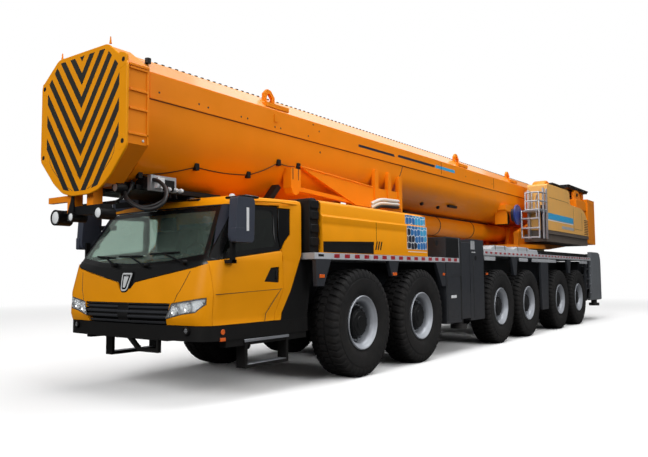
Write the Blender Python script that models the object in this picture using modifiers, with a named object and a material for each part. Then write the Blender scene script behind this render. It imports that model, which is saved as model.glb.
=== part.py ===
"""Six-axle truck-mounted crane: carrier, superstructure and telescopic boom, in metres.

+Z is up, the truck faces -Y and its left side is +X. The origin is on the ground, under the
middle of the whole length. Sizes along the truck are given from the first axle, with y
growing rearwards, and the function at() turns them into the model's own Y.
"""

from math import cos, pi, radians, sin

import bmesh
import bpy
from mathutils import Matrix

# ---- driving dimensions (metres) ----
WIDTH = 3.0                 # over the tyres
SEAT_GAP = 0.0003           # between a piece and what carries it
RUN_GAP = 0.0005            # between the faces of a turning or sliding joint

HEAD_FACE_Y = -3.47         # front of the boom head's cover, from axle 1
REAR_FACE_Y = 13.63         # back of the rear outrigger box

AXLES = (                   # place along the truck, whether it steers
    (0.0, True),
    (1.75, True),
    (5.22, False),
    (6.92, False),
    (9.31, True),
    (11.04, True),
)

TYRE_RADIUS = 0.745
TYRE_WIDTH = 0.445
TYRE_SIDES = 20
RIM_RADIUS = 0.37
HUB_DRUM_RADIUS = 0.24
HUB_DEPTH = 0.06            # from the wheel's middle plane in to the hub drum
KINGPIN_X = 0.98
BEAM_HALF_HEIGHT = 0.13
BEAM_HALF_DEPTH = 0.11

FRAME_HALF_WIDTH = 0.48
FRAME_BOTTOM = 0.98
DECK_HALF_WIDTH = 1.48
FRONT_DECK = (-1.13, 2.64, 1.607, 1.690)    # y from, y to, bottom, top
REAR_DECK = (4.35, 12.44, 1.760, 1.850)
NOSE = (-2.62, -1.13, 0.66, 0.8697)         # low frame under the cab

BEAM_WIDTH = 0.40           # outrigger beams
BEAM_HEIGHT = 0.36
BEAM_BOTTOM = 1.05
BOX_HALF_WIDTH = 1.10       # the cross boxes that hold the beams
BEAM_END_X = BOX_HALF_WIDTH + 0.06      # where a beam meets its jack case
CASE_TOP = 1.98
CASE_BOTTOM = 0.60
SLOT_SIDE_GAP = 0.01
SLOT_END_WALL = 0.03        # closes a beam's tunnel on the other side
JACK_RADIUS = 0.085
PAD_RADIUS = 0.15

CAB_HALF_WIDTH = 1.30
CAB_FRONT_Y = -2.92
CAB_BACK_Y = -1.17
CAB_FLOOR = 0.87
CAB_ROOF = 2.35
CAB_WALL = 0.05
DOOR_GAP = 0.005

HOOD = (-0.92, 2.14, 2.375)                 # y from, y to, top
HOOD_WALL = 0.03
HOOD_INSET = 0.02           # from the deck's edge
HOOD_EDGE = 0.05            # chamfer of its long edges
HOOD_BACK_RADIUS = 0.16

SLEW_Y = 9.0                # slewing centre
RING_RADIUS = 1.15
RING_TOP = 2.02
DISC_TOP = 2.12

PIVOT_Y = 12.3              # boom foot pivot
PIVOT_Z = 3.30
BOSS_RADIUS = 0.33
SIDE_PLATE = (0.72, 0.84)   # the superstructure's side plates, |x| from and to

BOOM_HALF_WIDTH = 0.68
BOOM_TOP = 3.885
BOOM_BOTTOM = 2.685
BOOM_FRONT_Y = -3.09
BOOM_BACK_Y = 10.4
FRONT_BELLY = (2.42, 0.0, 1.6)              # bottom over the cab, where it rises from and to
BOOM_WALL = 0.045
HOOK_TOP = 4.0              # rigging hooks on the boom's left chamfer
HOOKS_Y = (-0.95, 5.25, 8.35)
SLEEVE_GAP = 0.02           # between the boom's sections, behind their front guides
GUIDE_LENGTH = 0.25
COLLAR_LENGTH = 0.06

HEAD_HALF_WIDTH = 0.80
HEAD_TOP = 3.92
HEAD_BOTTOM = 2.30
COVER_THICK = 0.035

CYLINDER_Z = 2.455
CYLINDER_FOOT_Y = 9.20
CYLINDER_EYE_Y = 2.50
BARREL_RADIUS = 0.21
ROD_RADIUS = 0.15
BARREL_FRONT_Y = 3.35
EYE_HALF_WIDTH = 0.155       # the rod's eye, between the boom's ears
FOOT_HALF_WIDTH = 0.225     # the barrel's foot, between the turntable's ears
EAR_THICK = 0.09

LENGTH_MIDDLE = (HEAD_FACE_Y + REAR_FACE_Y) / 2


def at(y):
    """A distance behind axle 1 as the model's Y."""
    return y - LENGTH_MIDDLE


# ---- the scene's collections and materials ----
for old in list(bpy.data.objects):
    bpy.data.objects.remove(old, do_unlink=True)

PARTS = bpy.data.collections.new("truck_crane")
CUTTERS = bpy.data.collections.new("cutters")
bpy.context.scene.collection.children.link(PARTS)
bpy.context.scene.collection.children.link(CUTTERS)

FINISHES = {                # colour, roughness, metallic
    "orange_paint": ((0.80, 0.40, 0.02), 0.35, 0.0),
    "frame_grey": ((0.07, 0.08, 0.09), 0.50, 0.0),
    "black_plastic": ((0.02, 0.02, 0.02), 0.55, 0.0),
    "deck_metal": ((0.35, 0.36, 0.37), 0.50, 0.6),
    "tyre_rubber": ((0.025, 0.025, 0.027), 0.80, 0.0),
    "cast_steel": ((0.12, 0.12, 0.12), 0.55, 0.8),
    "dark_glass": ((0.03, 0.05, 0.05), 0.08, 0.0),
    "chrome_rod": ((0.75, 0.75, 0.76), 0.15, 1.0),
    "aluminium": ((0.62, 0.63, 0.65), 0.40, 0.9),
    "reel_blue": ((0.02, 0.08, 0.35), 0.40, 0.0),
    "seat_fabric": ((0.05, 0.05, 0.06), 0.90, 0.0),
}


def finish(name):
    """The material of this name, made once from FINISHES."""
    made = bpy.data.materials.get(name)
    if made is None:
        colour, roughness, metallic = FINISHES[name]
        made = bpy.data.materials.new(name)
        made.use_nodes = True
        shader = made.node_tree.nodes["Principled BSDF"]
        shader.inputs["Base Color"].default_value = (*colour, 1.0)
        shader.inputs["Roughness"].default_value = roughness
        shader.inputs["Metallic"].default_value = metallic
    return made


# ---- shapes ----
def new_object(name, mesh):
    piece = bpy.data.objects.new(name, mesh)
    CUTTERS.objects.link(piece)
    piece.hide_render = True
    piece.display_type = "WIRE"
    return piece


def from_bmesh(name, bm):
    bmesh.ops.recalc_face_normals(bm, faces=bm.faces)
    mesh = bpy.data.meshes.new(name)
    bm.to_mesh(mesh)
    bm.free()
    return new_object(name, mesh)


def box(x, y, z, name="box"):
    """A box between (low, high) pairs; y is measured from axle 1."""
    bm = bmesh.new()
    bmesh.ops.create_cube(bm, size=1.0)
    sizes = (x[1] - x[0], y[1] - y[0], z[1] - z[0])
    middle = ((x[0] + x[1]) / 2, at((y[0] + y[1]) / 2), (z[0] + z[1]) / 2)
    bmesh.ops.scale(bm, vec=sizes, verts=bm.verts)
    bmesh.ops.translate(bm, vec=middle, verts=bm.verts)
    return from_bmesh(name, bm)


TURNS = {
    "X": Matrix(((0, 0, 1), (1, 0, 0), (0, 1, 0))).to_4x4(),
    "Y": Matrix(((1, 0, 0), (0, 0, -1), (0, 1, 0))).to_4x4(),
    "Z": Matrix.Identity(4),
}


def cylinder(axis, centre, radius, low, high, sides=24, name="cylinder"):
    """A round bar along axis from low to high; centre holds the other two coordinates."""
    length = high - low
    middle = (low + high) / 2
    if axis == "X":
        place = (middle, at(centre[0]), centre[1])
    elif axis == "Y":
        place = (centre[0], at(middle), centre[1])
    else:
        place = (centre[0], at(centre[1]), middle)
    bm = bmesh.new()
    bmesh.ops.create_cone(
        bm, cap_ends=True, segments=sides, radius1=radius, radius2=radius, depth=length
    )
    bmesh.ops.transform(bm, matrix=Matrix.Translation(place) @ TURNS[axis], verts=bm.verts)
    return from_bmesh(name, bm)


def prism(axis, outline, low, high, name="prism"):
    """A flat outline made thick along axis: (y, z) points on X, (x, z) on Y and (x, y) on Z."""
    curve = bpy.data.curves.new(name, "CURVE")
    curve.dimensions = "2D"
    curve.fill_mode = "BOTH"
    curve.extrude = (high - low) / 2
    line = curve.splines.new("POLY")
    line.points.add(len(outline) - 1)
    for point, (a, b) in zip(line.points, outline):
        if axis == "X":
            point.co = (at(a), b, 0, 1)
        elif axis == "Y":
            point.co = (a, b, 0, 1)
        else:
            point.co = (a, at(b), 0, 1)
    line.use_cyclic_u = True
    flat = bpy.data.objects.new(name, curve)
    middle = (low + high) / 2
    shift = {"X": (middle, 0, 0), "Y": (0, at(middle), 0), "Z": (0, 0, middle)}[axis]
    CUTTERS.objects.link(flat)
    bpy.context.view_layer.update()
    graph = bpy.context.evaluated_depsgraph_get()
    mesh = bpy.data.meshes.new_from_object(flat.evaluated_get(graph))
    bpy.data.objects.remove(flat, do_unlink=True)
    bm = bmesh.new()
    bm.from_mesh(mesh)
    bpy.data.meshes.remove(mesh)
    bmesh.ops.remove_doubles(bm, verts=bm.verts, dist=1e-5)
    bmesh.ops.transform(bm, matrix=Matrix.Translation(shift) @ TURNS[axis], verts=bm.verts)
    return from_bmesh(name, bm)


def lathe(name, profile, middle, side):
    """A profile of (radius, offset along the axle) turned about X; side is 1 or -1."""
    mesh = bpy.data.meshes.new(name)
    points = [(offset * side, 0, radius) for radius, offset in profile]
    mesh.from_pydata(points, [(i, i + 1) for i in range(len(points) - 1)], [])
    piece = new_object(name, mesh)
    turn = piece.modifiers.new("turn", "SCREW")
    turn.axis = "X"
    turn.steps = TYRE_SIDES
    turn.render_steps = TYRE_SIDES
    turn.use_merge_vertices = True
    turn.merge_threshold = 1e-5
    turn.use_normal_calculate = True
    piece.location = middle
    piece.rotation_euler = (pi / TYRE_SIDES, 0, 0)
    return piece


def joined(first, others, operation="UNION"):
    """Adds each other piece to the first, or cuts it away, in turn."""
    for other in others:
        step = first.modifiers.new(operation.lower(), "BOOLEAN")
        step.operation = operation
        step.object = other
        step.solver = "EXACT"
    return first


def cut(first, others):
    return joined(first, others, "DIFFERENCE")


def common(first, others):
    return joined(first, others, "INTERSECT")


def node(piece, name, material):
    """Makes a finished shape one of the model's parts."""
    piece.name = name
    CUTTERS.objects.unlink(piece)
    PARTS.objects.link(piece)
    piece.hide_render = False
    piece.display_type = "TEXTURED"
    piece.data.name = name
    piece.data.materials.clear()
    piece.data.materials.append(finish(material))
    return piece


def mirrored(pair, side):
    """An |x| range as a real one, on the left (1) or the right (-1)."""
    return tuple(sorted((pair[0] * side, pair[1] * side)))


def both_sides(pair, make):
    return [make(mirrored(pair, side)) for side in (1, -1)]


def arc(centre, radius, start, end, count):
    """Points on an arc, angles in degrees."""
    steps = [radians(start + (end - start) * i / count) for i in range(count + 1)]
    return [(centre[0] + radius * cos(a), centre[1] + radius * sin(a)) for a in steps]


SIDES = (("left", 1), ("right", -1))


# ---- wheels, knuckles and axles ----
def wheel_profile():
    half = TYRE_WIDTH / 2
    outer = TYRE_RADIUS / cos(pi / TYRE_SIDES)
    return [
        (0.0, 0.12),
        (0.16, 0.12),
        (0.19, 0.02),
        (RIM_RADIUS - 0.03, 0.08),
        (RIM_RADIUS, half - 0.02),
        (outer - 0.085, half),
        (outer, half - 0.055),
        (outer, 0.055 - half),
        (outer - 0.085, -half),
        (RIM_RADIUS, 0.02 - half),
        (RIM_RADIUS - 0.04, -HUB_DEPTH),
        (0.0, -HUB_DEPTH),
    ]


WHEEL_X = (WIDTH - TYRE_WIDTH) / 2


def make_wheels():
    for number, (y, _) in enumerate(AXLES, 1):
        for side_name, side in SIDES:
            place = (WHEEL_X * side, at(y), TYRE_RADIUS)
            piece = lathe("wheel", wheel_profile(), place, side)
            node(piece, f"wheel_{number}_{side_name}", "tyre_rubber")


FORK_GAP_HALF = 0.17        # half the height between a steered axle's fork arms
FORK_ARM = 0.075            # an arm's thickness, and its reach past the kingpin
DRUM_INNER_X = KINGPIN_X + 0.13


def make_knuckles():
    hub_x = WHEEL_X - HUB_DEPTH - RUN_GAP
    for number, (y, steers) in enumerate(AXLES, 1):
        if not steers:
            continue
        for side_name, side in SIDES:
            post = cylinder(
                "Z",
                (KINGPIN_X * side, y),
                0.07,
                TYRE_RADIUS - FORK_GAP_HALF + RUN_GAP,
                TYRE_RADIUS + FORK_GAP_HALF - RUN_GAP,
                16,
            )
            neck = box(
                mirrored((KINGPIN_X, DRUM_INNER_X + 0.01), side),
                (y - 0.06, y + 0.06),
                (TYRE_RADIUS - 0.13, TYRE_RADIUS + 0.13),
            )
            drum = cylinder(
                "X", (y, TYRE_RADIUS), HUB_DRUM_RADIUS, *mirrored((DRUM_INNER_X, hub_x), side)
            )
            joined(drum, [neck, post])
            node(drum, f"knuckle_{number}_{side_name}", "cast_steel")


STRUT_X = 0.36
SHAFT_RADIUS = 0.055


def make_axle_train():
    hub_x = WHEEL_X - HUB_DEPTH - RUN_GAP
    y_first = AXLES[0][0]
    y_last = AXLES[-1][0]
    train = cylinder("Y", (0, TYRE_RADIUS), SHAFT_RADIUS, y_first, y_last, 12)
    pieces = []
    for y, steers in AXLES:
        depth = (y - BEAM_HALF_DEPTH, y + BEAM_HALF_DEPTH)
        height = (TYRE_RADIUS - BEAM_HALF_HEIGHT, TYRE_RADIUS + BEAM_HALF_HEIGHT)
        reach = KINGPIN_X - 0.10 if steers else hub_x - 0.12
        pieces.append(box((-reach, reach), depth, height))
        pieces.append(cylinder("Y", (0, TYRE_RADIUS), 0.2, y - 0.16, y + 0.16, 16))
        for side in (1, -1):
            if steers:
                web = mirrored((KINGPIN_X - 0.18, KINGPIN_X - 0.10), side)
                arm = mirrored((KINGPIN_X - 0.18, KINGPIN_X + FORK_ARM), side)
                top = TYRE_RADIUS + FORK_GAP_HALF
                low = TYRE_RADIUS - FORK_GAP_HALF
                pieces.append(box(web, (y - 0.07, y + 0.07), (low - 0.07, top + 0.07)))
                pieces.append(box(arm, (y - 0.07, y + 0.07), (top, top + 0.075)))
                pieces.append(box(arm, (y - 0.07, y + 0.07), (low - 0.075, low)))
            else:
                drum = mirrored((hub_x - 0.15, hub_x), side)
                pieces.append(cylinder("X", (y, TYRE_RADIUS), HUB_DRUM_RADIUS, *drum))
            strut = (STRUT_X * side, y)
            top = FRAME_BOTTOM - SEAT_GAP
            pieces.append(cylinder("Z", strut, 0.07, TYRE_RADIUS, top, 12))
    node(joined(train, pieces), "axle_train", "cast_steel")


# ---- carrier frame, decks and outriggers ----
OUTRIGGERS = (              # name, box from, box to, left beam's middle, right beam's middle
    ("front", 2.66, 4.33, 3.48, 3.94),
    ("rear", 12.46, REAR_FACE_Y - 0.04, 13.32, 12.78),
)
BOX_TOP = 1.75
LOCKER_TOP = 2.05
LOCKER_BOTTOM = 0.55
CASE_HALF_DEPTH = 0.19


def slot_box(middle, side):
    """The tunnel that an outrigger beam slides in, longer than the box."""
    half = BEAM_WIDTH / 2 + SLOT_SIDE_GAP
    return box(
        mirrored((SLOT_END_WALL - BOX_HALF_WIDTH, DECK_HALF_WIDTH + 0.12), side),
        (middle - half, middle + half),
        (BEAM_BOTTOM - RUN_GAP, BEAM_BOTTOM + BEAM_HEIGHT + SLOT_SIDE_GAP),
    )


def make_frame():
    front_top = FRONT_DECK[2] - SEAT_GAP
    rear_top = REAR_DECK[2] - SEAT_GAP
    half = FRAME_HALF_WIDTH
    girder = box((-half, half), (NOSE[1], 12.8), (FRAME_BOTTOM, front_top))
    pieces = [
        box((-half, half), (4.0, 12.8), (FRAME_BOTTOM + 0.1, rear_top)),
        box((-half, half), (NOSE[0], NOSE[1] + 0.2), (NOSE[2], NOSE[3])),
        box((-half, half), (NOSE[1] + 0.02, NOSE[1] + 0.18), (NOSE[2] + 0.02, FRAME_BOTTOM + 0.2)),
    ]
    for _, y_from, y_to, *_ in OUTRIGGERS:
        wide = (-BOX_HALF_WIDTH, BOX_HALF_WIDTH)
        pieces.append(box(wide, (y_from, y_to), (FRAME_BOTTOM - 0.02, BOX_TOP)))
    _, y_from, y_to, left, right = OUTRIGGERS[0]
    for side, middle in ((1, left), (-1, right)):
        x = mirrored((BOX_HALF_WIDTH - 0.30, DECK_HALF_WIDTH), side)
        height = (LOCKER_BOTTOM, LOCKER_TOP)
        near = middle - CASE_HALF_DEPTH - SLOT_SIDE_GAP
        far = middle + CASE_HALF_DEPTH + SLOT_SIDE_GAP
        pieces.append(box(x, (y_from, near), height))
        pieces.append(box(x, (far, y_to), height))
    joined(girder, pieces)
    slots = []
    for _, _, _, left, right in OUTRIGGERS:
        slots += [slot_box(left, 1), slot_box(right, -1)]
    cut(girder, slots)
    node(girder, "chassis_frame", "frame_grey")


def rear_cover(name, side):
    """The rear jack case's wide cover, which slides out with it."""
    if name != "rear":
        return []
    y_back = REAR_FACE_Y
    outline = [
        (12.50, CASE_BOTTOM + 0.01),
        (12.50, CASE_TOP + 0.04),
        *arc((y_back - 0.32, CASE_TOP - 0.28), 0.32, 90, 0, 4),
        (y_back, CASE_BOTTOM + 0.01),
    ]
    return [prism("X", outline, *mirrored((DECK_HALF_WIDTH - 0.10, DECK_HALF_WIDTH - 0.005), side))]


def make_outriggers():
    for name, _, _, left, right in OUTRIGGERS:
        for (side_name, side), middle in zip(SIDES, (left, right)):
            width = (middle - BEAM_WIDTH / 2, middle + BEAM_WIDTH / 2)
            height = (BEAM_BOTTOM, BEAM_BOTTOM + BEAM_HEIGHT)
            inner_end = SLOT_END_WALL + 0.02 - BOX_HALF_WIDTH
            arm = box(mirrored((inner_end, BEAM_END_X + 0.01), side), width, height)
            case = box(
                mirrored((BEAM_END_X, DECK_HALF_WIDTH), side),
                (middle - CASE_HALF_DEPTH, middle + CASE_HALF_DEPTH),
                (CASE_BOTTOM, CASE_TOP),
            )
            x = (BEAM_END_X + DECK_HALF_WIDTH) / 2 * side
            bore = cylinder("Z", (x, middle), JACK_RADIUS + RUN_GAP, 0.3, CASE_TOP - 0.1, 16)
            joined(arm, [case, *rear_cover(name, side)])
            cut(arm, [bore])
            node(arm, f"outrigger_{name}_{side_name}", "frame_grey")
            leg = cylinder(
                "Z", (x, middle), JACK_RADIUS, CASE_BOTTOM - 0.12, CASE_TOP - 0.15, 16
            )
            pad = cylinder("Z", (x, middle), PAD_RADIUS, 0.42, CASE_BOTTOM - 0.1, 16)
            joined(leg, [pad])
            node(leg, f"jack_{name}_{side_name}", "cast_steel")


HANGERS = (                 # deck, y from and to at the top, y from and to at the foot, foot z
    ("front", -1.10, -0.76, -1.08, -0.93, 1.265),
    ("front", 0.70, 1.02, 0.80, 0.94, 1.38),
    ("front", 2.26, 2.635, 2.50, 2.63, 1.20),
    ("rear", 5.84, 6.24, 6.00, 6.14, 1.37),
    ("rear", 7.80, 8.38, 7.86, 8.32, 0.55),
    ("rear", 9.98, 10.36, 10.10, 10.26, 1.40),
)


DECK_BOXES = (              # x, y and height of what stands on the rear deck
    ((1.02, 1.36), (5.00, 8.00), 0.06),
    ((1.05, 1.30), (5.20, 6.34), 0.13),
    ((1.08, 1.32), (6.60, 7.34), 0.15),
    ((1.20, 1.38), (8.06, 12.40), 0.10),
    ((-1.38, -1.20), (5.00, 12.40), 0.10),
)
LADDER_RAILS = (12.02, 12.36)   # rear ladder on the left side
LADDER_BOTTOM = 0.61
LADDER_STEPS = 4


def make_deck(name, size):
    y_from, y_to, bottom, top = size
    deck = box((-DECK_HALF_WIDTH, DECK_HALF_WIDTH), (y_from, y_to), (bottom, top))
    pieces = []
    for which, top_from, top_to, foot_from, foot_to, foot in HANGERS:
        if which == name:
            outline = [
                (top_from, bottom + 0.01),
                (top_to, bottom + 0.01),
                (foot_to, foot),
                (foot_from, foot),
            ]
            pieces += both_sides(
                (DECK_HALF_WIDTH - 0.06, DECK_HALF_WIDTH),
                lambda x: prism("X", outline, *x),
            )
    if name == "rear":
        for x_pair, y_pair, height in DECK_BOXES:
            pieces.append(box(x_pair, y_pair, (top - 0.01, top + height)))
        x = (DECK_HALF_WIDTH - 0.10, DECK_HALF_WIDTH - 0.04)
        for y in LADDER_RAILS:
            pieces.append(box(x, (y, y + 0.04), (LADDER_BOTTOM, bottom + 0.01)))
        for step in range(LADDER_STEPS):
            z = LADDER_BOTTOM + 0.02 + step * 0.29
            span = (LADDER_RAILS[0] + 0.01, LADDER_RAILS[1] + 0.03)
            pieces.append(box(x, span, (z, z + 0.04)))
    node(joined(deck, pieces), f"{name}_deck", "deck_metal")


# ---- cab ----
CAB_RINGS = (               # z, front y, back y, inset of the sides in front and behind, corner radius
    (CAB_FLOOR, -2.86, -1.555, 0.02, 0.02, 0.22),
    (0.95, -2.90, -1.516, 0.04, 0.04, 0.22),
    (1.22, CAB_FRONT_Y, -1.385, 0.0, 0.0, 0.24),
    (1.56, -2.88, -1.22, 0.015, 0.0, 0.22),
    (1.66, -2.80, CAB_BACK_Y, 0.04, 0.0, 0.21),
    (2.28, -2.33, CAB_BACK_Y, 0.185, 0.0, 0.13),
    (CAB_ROOF, -2.20, CAB_BACK_Y - 0.04, 0.23, 0.05, 0.11),
)
CAB_BOW = 0.07              # how far the front's middle stands before its corners


def cab_ring(ring, inset):
    """One level of the cab in plan, set in by a wall's thickness."""
    _, front, back, front_inset, back_inset, radius = ring
    x = CAB_HALF_WIDTH - front_inset - radius
    y = front + CAB_BOW + radius
    behind = CAB_HALF_WIDTH - back_inset - inset
    return [
        *arc((x, y), radius - inset, 0, -90, 4),
        (0.4, front + inset),
        (-0.4, front + inset),
        *arc((-x, y), radius - inset, -90, -180, 4),
        (-behind, back - inset),
        (behind, back - inset),
    ]


def cab_block(inset):
    """The cab's whole form, set in by a wall's thickness."""
    bm = bmesh.new()
    levels = []
    for ring in CAB_RINGS:
        z = min(max(ring[0], CAB_FLOOR + inset), CAB_ROOF - inset)
        levels.append([bm.verts.new((x, at(y), z)) for x, y in cab_ring(ring, inset)])
    bm.faces.new(levels[0])
    bm.faces.new(levels[-1])
    for low, high in zip(levels, levels[1:]):
        for i in range(len(low)):
            bm.faces.new((low[i - 1], low[i], high[i], high[i - 1]))
    bmesh.ops.triangulate(bm, faces=bm.faces)
    return from_bmesh("cab", bm)


DOOR_OUTLINE = [            # y, z
    (-2.67, CAB_FLOOR - 0.1),
    (-2.67, 1.60),
    (-2.19, 2.235),
    (-1.53, 2.26),
    (-1.53, 1.25),
    (-1.74, CAB_FLOOR - 0.1),
]
DOOR_WINDOW = [
    (-2.57, 1.62),
    (-2.15, 2.17),
    (-1.61, 2.19),
    (-1.61, 1.72),
]
DOOR_DEPTH = [              # x from the cab's half width, z: the doors stay in the cab's wall
    (-0.09, CAB_FLOOR - 0.2),
    (-0.09, 1.50),
    (-0.28, 2.30),
    (0.10, 2.30),
    (0.10, CAB_FLOOR - 0.2),
]
REAR_WINDOW = [             # behind the door, in the shell
    (-1.46, 1.76),
    (-1.46, 2.20),
    (-1.345, 2.20),
    (-1.345, 1.91),
]
WINDSCREEN_OUTLINE = [      # x, z
    (-1.16, 1.53),
    (1.16, 1.53),
    (0.99, 2.23),
    (-0.99, 2.23),
]


def grown(outline, by):
    """An outline moved out from its middle by about this much."""
    mid_a = sum(a for a, _ in outline) / len(outline)
    mid_b = sum(b for _, b in outline) / len(outline)
    moved = []
    for a, b in outline:
        reach = ((a - mid_a) ** 2 + (b - mid_b) ** 2) ** 0.5
        scale = (reach + by) / reach
        moved.append((mid_a + (a - mid_a) * scale, mid_b + (b - mid_b) * scale))
    return moved


DOOR_RANGE = (CAB_HALF_WIDTH - 0.32, CAB_HALF_WIDTH + 0.1)


def door_solid(outline, side, gap):
    """A door's outline through the cab's wall, wider by gap on its inner side."""
    depth = [((CAB_HALF_WIDTH + a - gap) * side, z) for a, z in DOOR_DEPTH]
    solid = prism("X", outline, *mirrored(DOOR_RANGE, side))
    return common(solid, [prism("Y", depth, -3.0, -1.3)])


def make_cab():
    inner = cab_block(CAB_WALL)
    screen_depth = (CAB_FRONT_Y - 0.1, CAB_FRONT_Y + 0.95)
    shell = cut(cab_block(0), [inner])
    opening = grown(DOOR_OUTLINE, DOOR_GAP)
    hinge_y = DOOR_OUTLINE[0][0] - RUN_GAP          # close beside the hinges
    opening[:2] = [(hinge_y, opening[0][1]), (hinge_y, opening[1][1])]
    door_cuts = [door_solid(opening, side, DOOR_GAP) for side in (1, -1)]
    rear_cuts = both_sides(DOOR_RANGE, lambda x: prism("X", REAR_WINDOW, *x))
    screen_cut = prism("Y", grown(WINDSCREEN_OUTLINE, SEAT_GAP * 2), *screen_depth)
    cut(shell, [*door_cuts, *rear_cuts, screen_cut])
    node(shell, "cab_shell", "orange_paint")

    for side_name, side in SIDES:
        door = cut(cab_block(0), [inner])
        common(door, [door_solid(DOOR_OUTLINE, side, 0.0)])
        cut(door, [prism("X", DOOR_WINDOW, *mirrored(DOOR_RANGE, side))])
        mirror_x = mirrored((CAB_HALF_WIDTH + 0.045, CAB_HALF_WIDTH + 0.17), side)
        arm_x = mirrored((CAB_HALF_WIDTH - 0.17, CAB_HALF_WIDTH + 0.06), side)
        low_arm_x = mirrored((CAB_HALF_WIDTH - 0.05, CAB_HALF_WIDTH + 0.06), side)
        stay_x = mirrored((CAB_HALF_WIDTH + 0.02, CAB_HALF_WIDTH + 0.06), side)
        mirror = box(mirror_x, (-2.54, -2.22), (1.77, 2.28))
        arm = box(arm_x, (-2.26, -2.14), (2.03, 2.10))
        low_arm = box(low_arm_x, (-2.52, -2.40), (1.54, 1.585))
        stay = box(stay_x, (-2.48, -2.42), (1.54, 1.90))
        joined(door, [mirror, arm, low_arm, stay])
        node(door, f"cab_door_{side_name}", "orange_paint")

    glass = cut(cab_block(0), [inner])
    common(glass, [prism("Y", WINDSCREEN_OUTLINE, *screen_depth)])
    node(glass, "windscreen", "dark_glass")


def make_cab_interior():
    floor = CAB_FLOOR + CAB_WALL + SEAT_GAP
    low = floor + 0.01
    half = CAB_HALF_WIDTH - 0.36
    base = box((-half, half), (-2.68, -1.65), (floor, floor + 0.03))
    dash = prism(
        "X",
        [(-2.67, low), (-2.67, 1.40), (-2.55, 1.44), (-2.40, 1.30), (-2.45, low)],
        0.02 - half,
        half - 0.02,
    )
    pieces = [dash]
    for x in (-0.62, 0.62):
        seat_side = [
            (-2.10, low),
            (-2.13, 1.42),
            (-1.66, 1.40),
            (-1.45, 2.05),
            (-1.34, 2.03),
            (-1.52, 1.33),
            (-1.68, low),
        ]
        pieces.append(prism("X", seat_side, x - 0.24, x + 0.24))
    node(joined(base, pieces), "cab_interior", "seat_fabric")


BUMPER_TOP = CAB_FLOOR - 0.006          # clear of the swinging doors
BUMPER_BOTTOM = 0.70
SKIRT_BOTTOM = 0.62
SKIRT_BACK_Y = -1.02
GUARD = [                   # y, z of the wheel guards behind the cab
    (-1.56, BUMPER_TOP - 0.05),
    (-1.535, 0.90),
    (-1.195, 1.60),
    (-0.90, 1.60),
    (-1.02, 0.90),
    (-1.02, BUMPER_TOP - 0.05),
]
SIDE_STEP = (-2.20, -1.39)  # y from and to
FRONT_STEP = [              # x, z of the hanging step's outside, then its inside
    (0.02, 0.72),
    (0.235, 0.556),
    (0.585, 0.556),
    (0.585, 0.72),
    (0.555, 0.72),
    (0.555, 0.60),
    (0.245, 0.60),
    (0.07, 0.735),
]


def make_bumper():
    def plan(inset):
        outline = cab_ring(CAB_RINGS[0], inset)
        half = CAB_HALF_WIDTH - 0.02 - inset
        back = SKIRT_BACK_Y + inset * 3
        return [*outline[:-2], (-half, back), (half, back)]

    bumper = prism("Z", plan(0), BUMPER_BOTTOM, BUMPER_TOP)
    cut(bumper, [prism("Z", plan(0.12), BUMPER_BOTTOM - 0.1, BUMPER_TOP + 0.1)])
    outer = CAB_HALF_WIDTH - 0.02
    tie = box((0.10 - outer, outer - 0.10), (NOSE[0] - 0.10, NOSE[0] - SEAT_GAP), (0.72, 0.84))
    steps = [prism("Y", FRONT_STEP, -2.85, -2.80)]
    front, back = SIDE_STEP
    for side in (1, -1):
        x = mirrored((outer - 0.14, outer), side)
        skirt = mirrored((outer - 0.11, outer - 0.01), side)
        steps.append(box(skirt, (-2.48, SKIRT_BACK_Y - 0.02), (SKIRT_BOTTOM, 0.80)))
        steps.append(prism("X", GUARD, *mirrored((outer - 0.10, outer - 0.005), side)))
        steps.append(box(x, SIDE_STEP, (0.64, 0.68)))
        for y in (front + 0.02, back - 0.06):
            steps.append(box(x, (y, y + 0.04), (0.38, 0.66)))
        steps.append(box(x, (front + 0.02, back - 0.02), (0.36, 0.40)))
    joined(bumper, [tie, *steps])
    node(bumper, "bumper", "black_plastic")


# ---- engine ----
def make_engine():
    deck_top = FRONT_DECK[3]
    y_from, y_to, top = HOOD
    half = DECK_HALF_WIDTH - HOOD_INSET
    low = deck_top + SEAT_GAP
    edge = HOOD_EDGE
    across = [
        (-half, low),
        (-half, top - 0.19),
        (-half + 0.035, top - 0.17),
        (-half + 0.035, top - edge),
        (-half + 0.035 + edge, top),
        (half - 0.035 - edge, top),
        (half - 0.035, top - edge),
        (half - 0.035, top - 0.17),
        (half, top - 0.19),
        (half, low),
    ]
    along = [
        (y_from, low),
        (y_from, top),
        *arc((y_to - HOOD_BACK_RADIUS, top - HOOD_BACK_RADIUS), HOOD_BACK_RADIUS, 90, 0, 4),
        (y_to, low),
    ]
    hood = prism("Y", across, y_from - 0.1, y_to + 0.1)
    common(hood, [prism("X", along, -half - 0.1, half + 0.1)])
    wall = HOOD_WALL
    inside = box(
        (wall + edge - half, half - wall - edge),
        (y_from + wall, y_to - edge - wall),
        (deck_top - 0.1, top - wall),
    )
    node(cut(hood, [inside]), "engine_hood", "orange_paint")
    engine = box((-0.46, 0.46), (y_from + 0.92, y_to - 0.39), (deck_top + SEAT_GAP, top - 0.125))
    node(engine, "engine_block", "cast_steel")
    intake_x = (DECK_HALF_WIDTH - 0.48, DECK_HALF_WIDTH - 0.06)
    intake = box(intake_x, (-1.125, y_from - 0.01), (deck_top + SEAT_GAP, top + 0.015))
    node(intake, "air_intake", "black_plastic")


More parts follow.
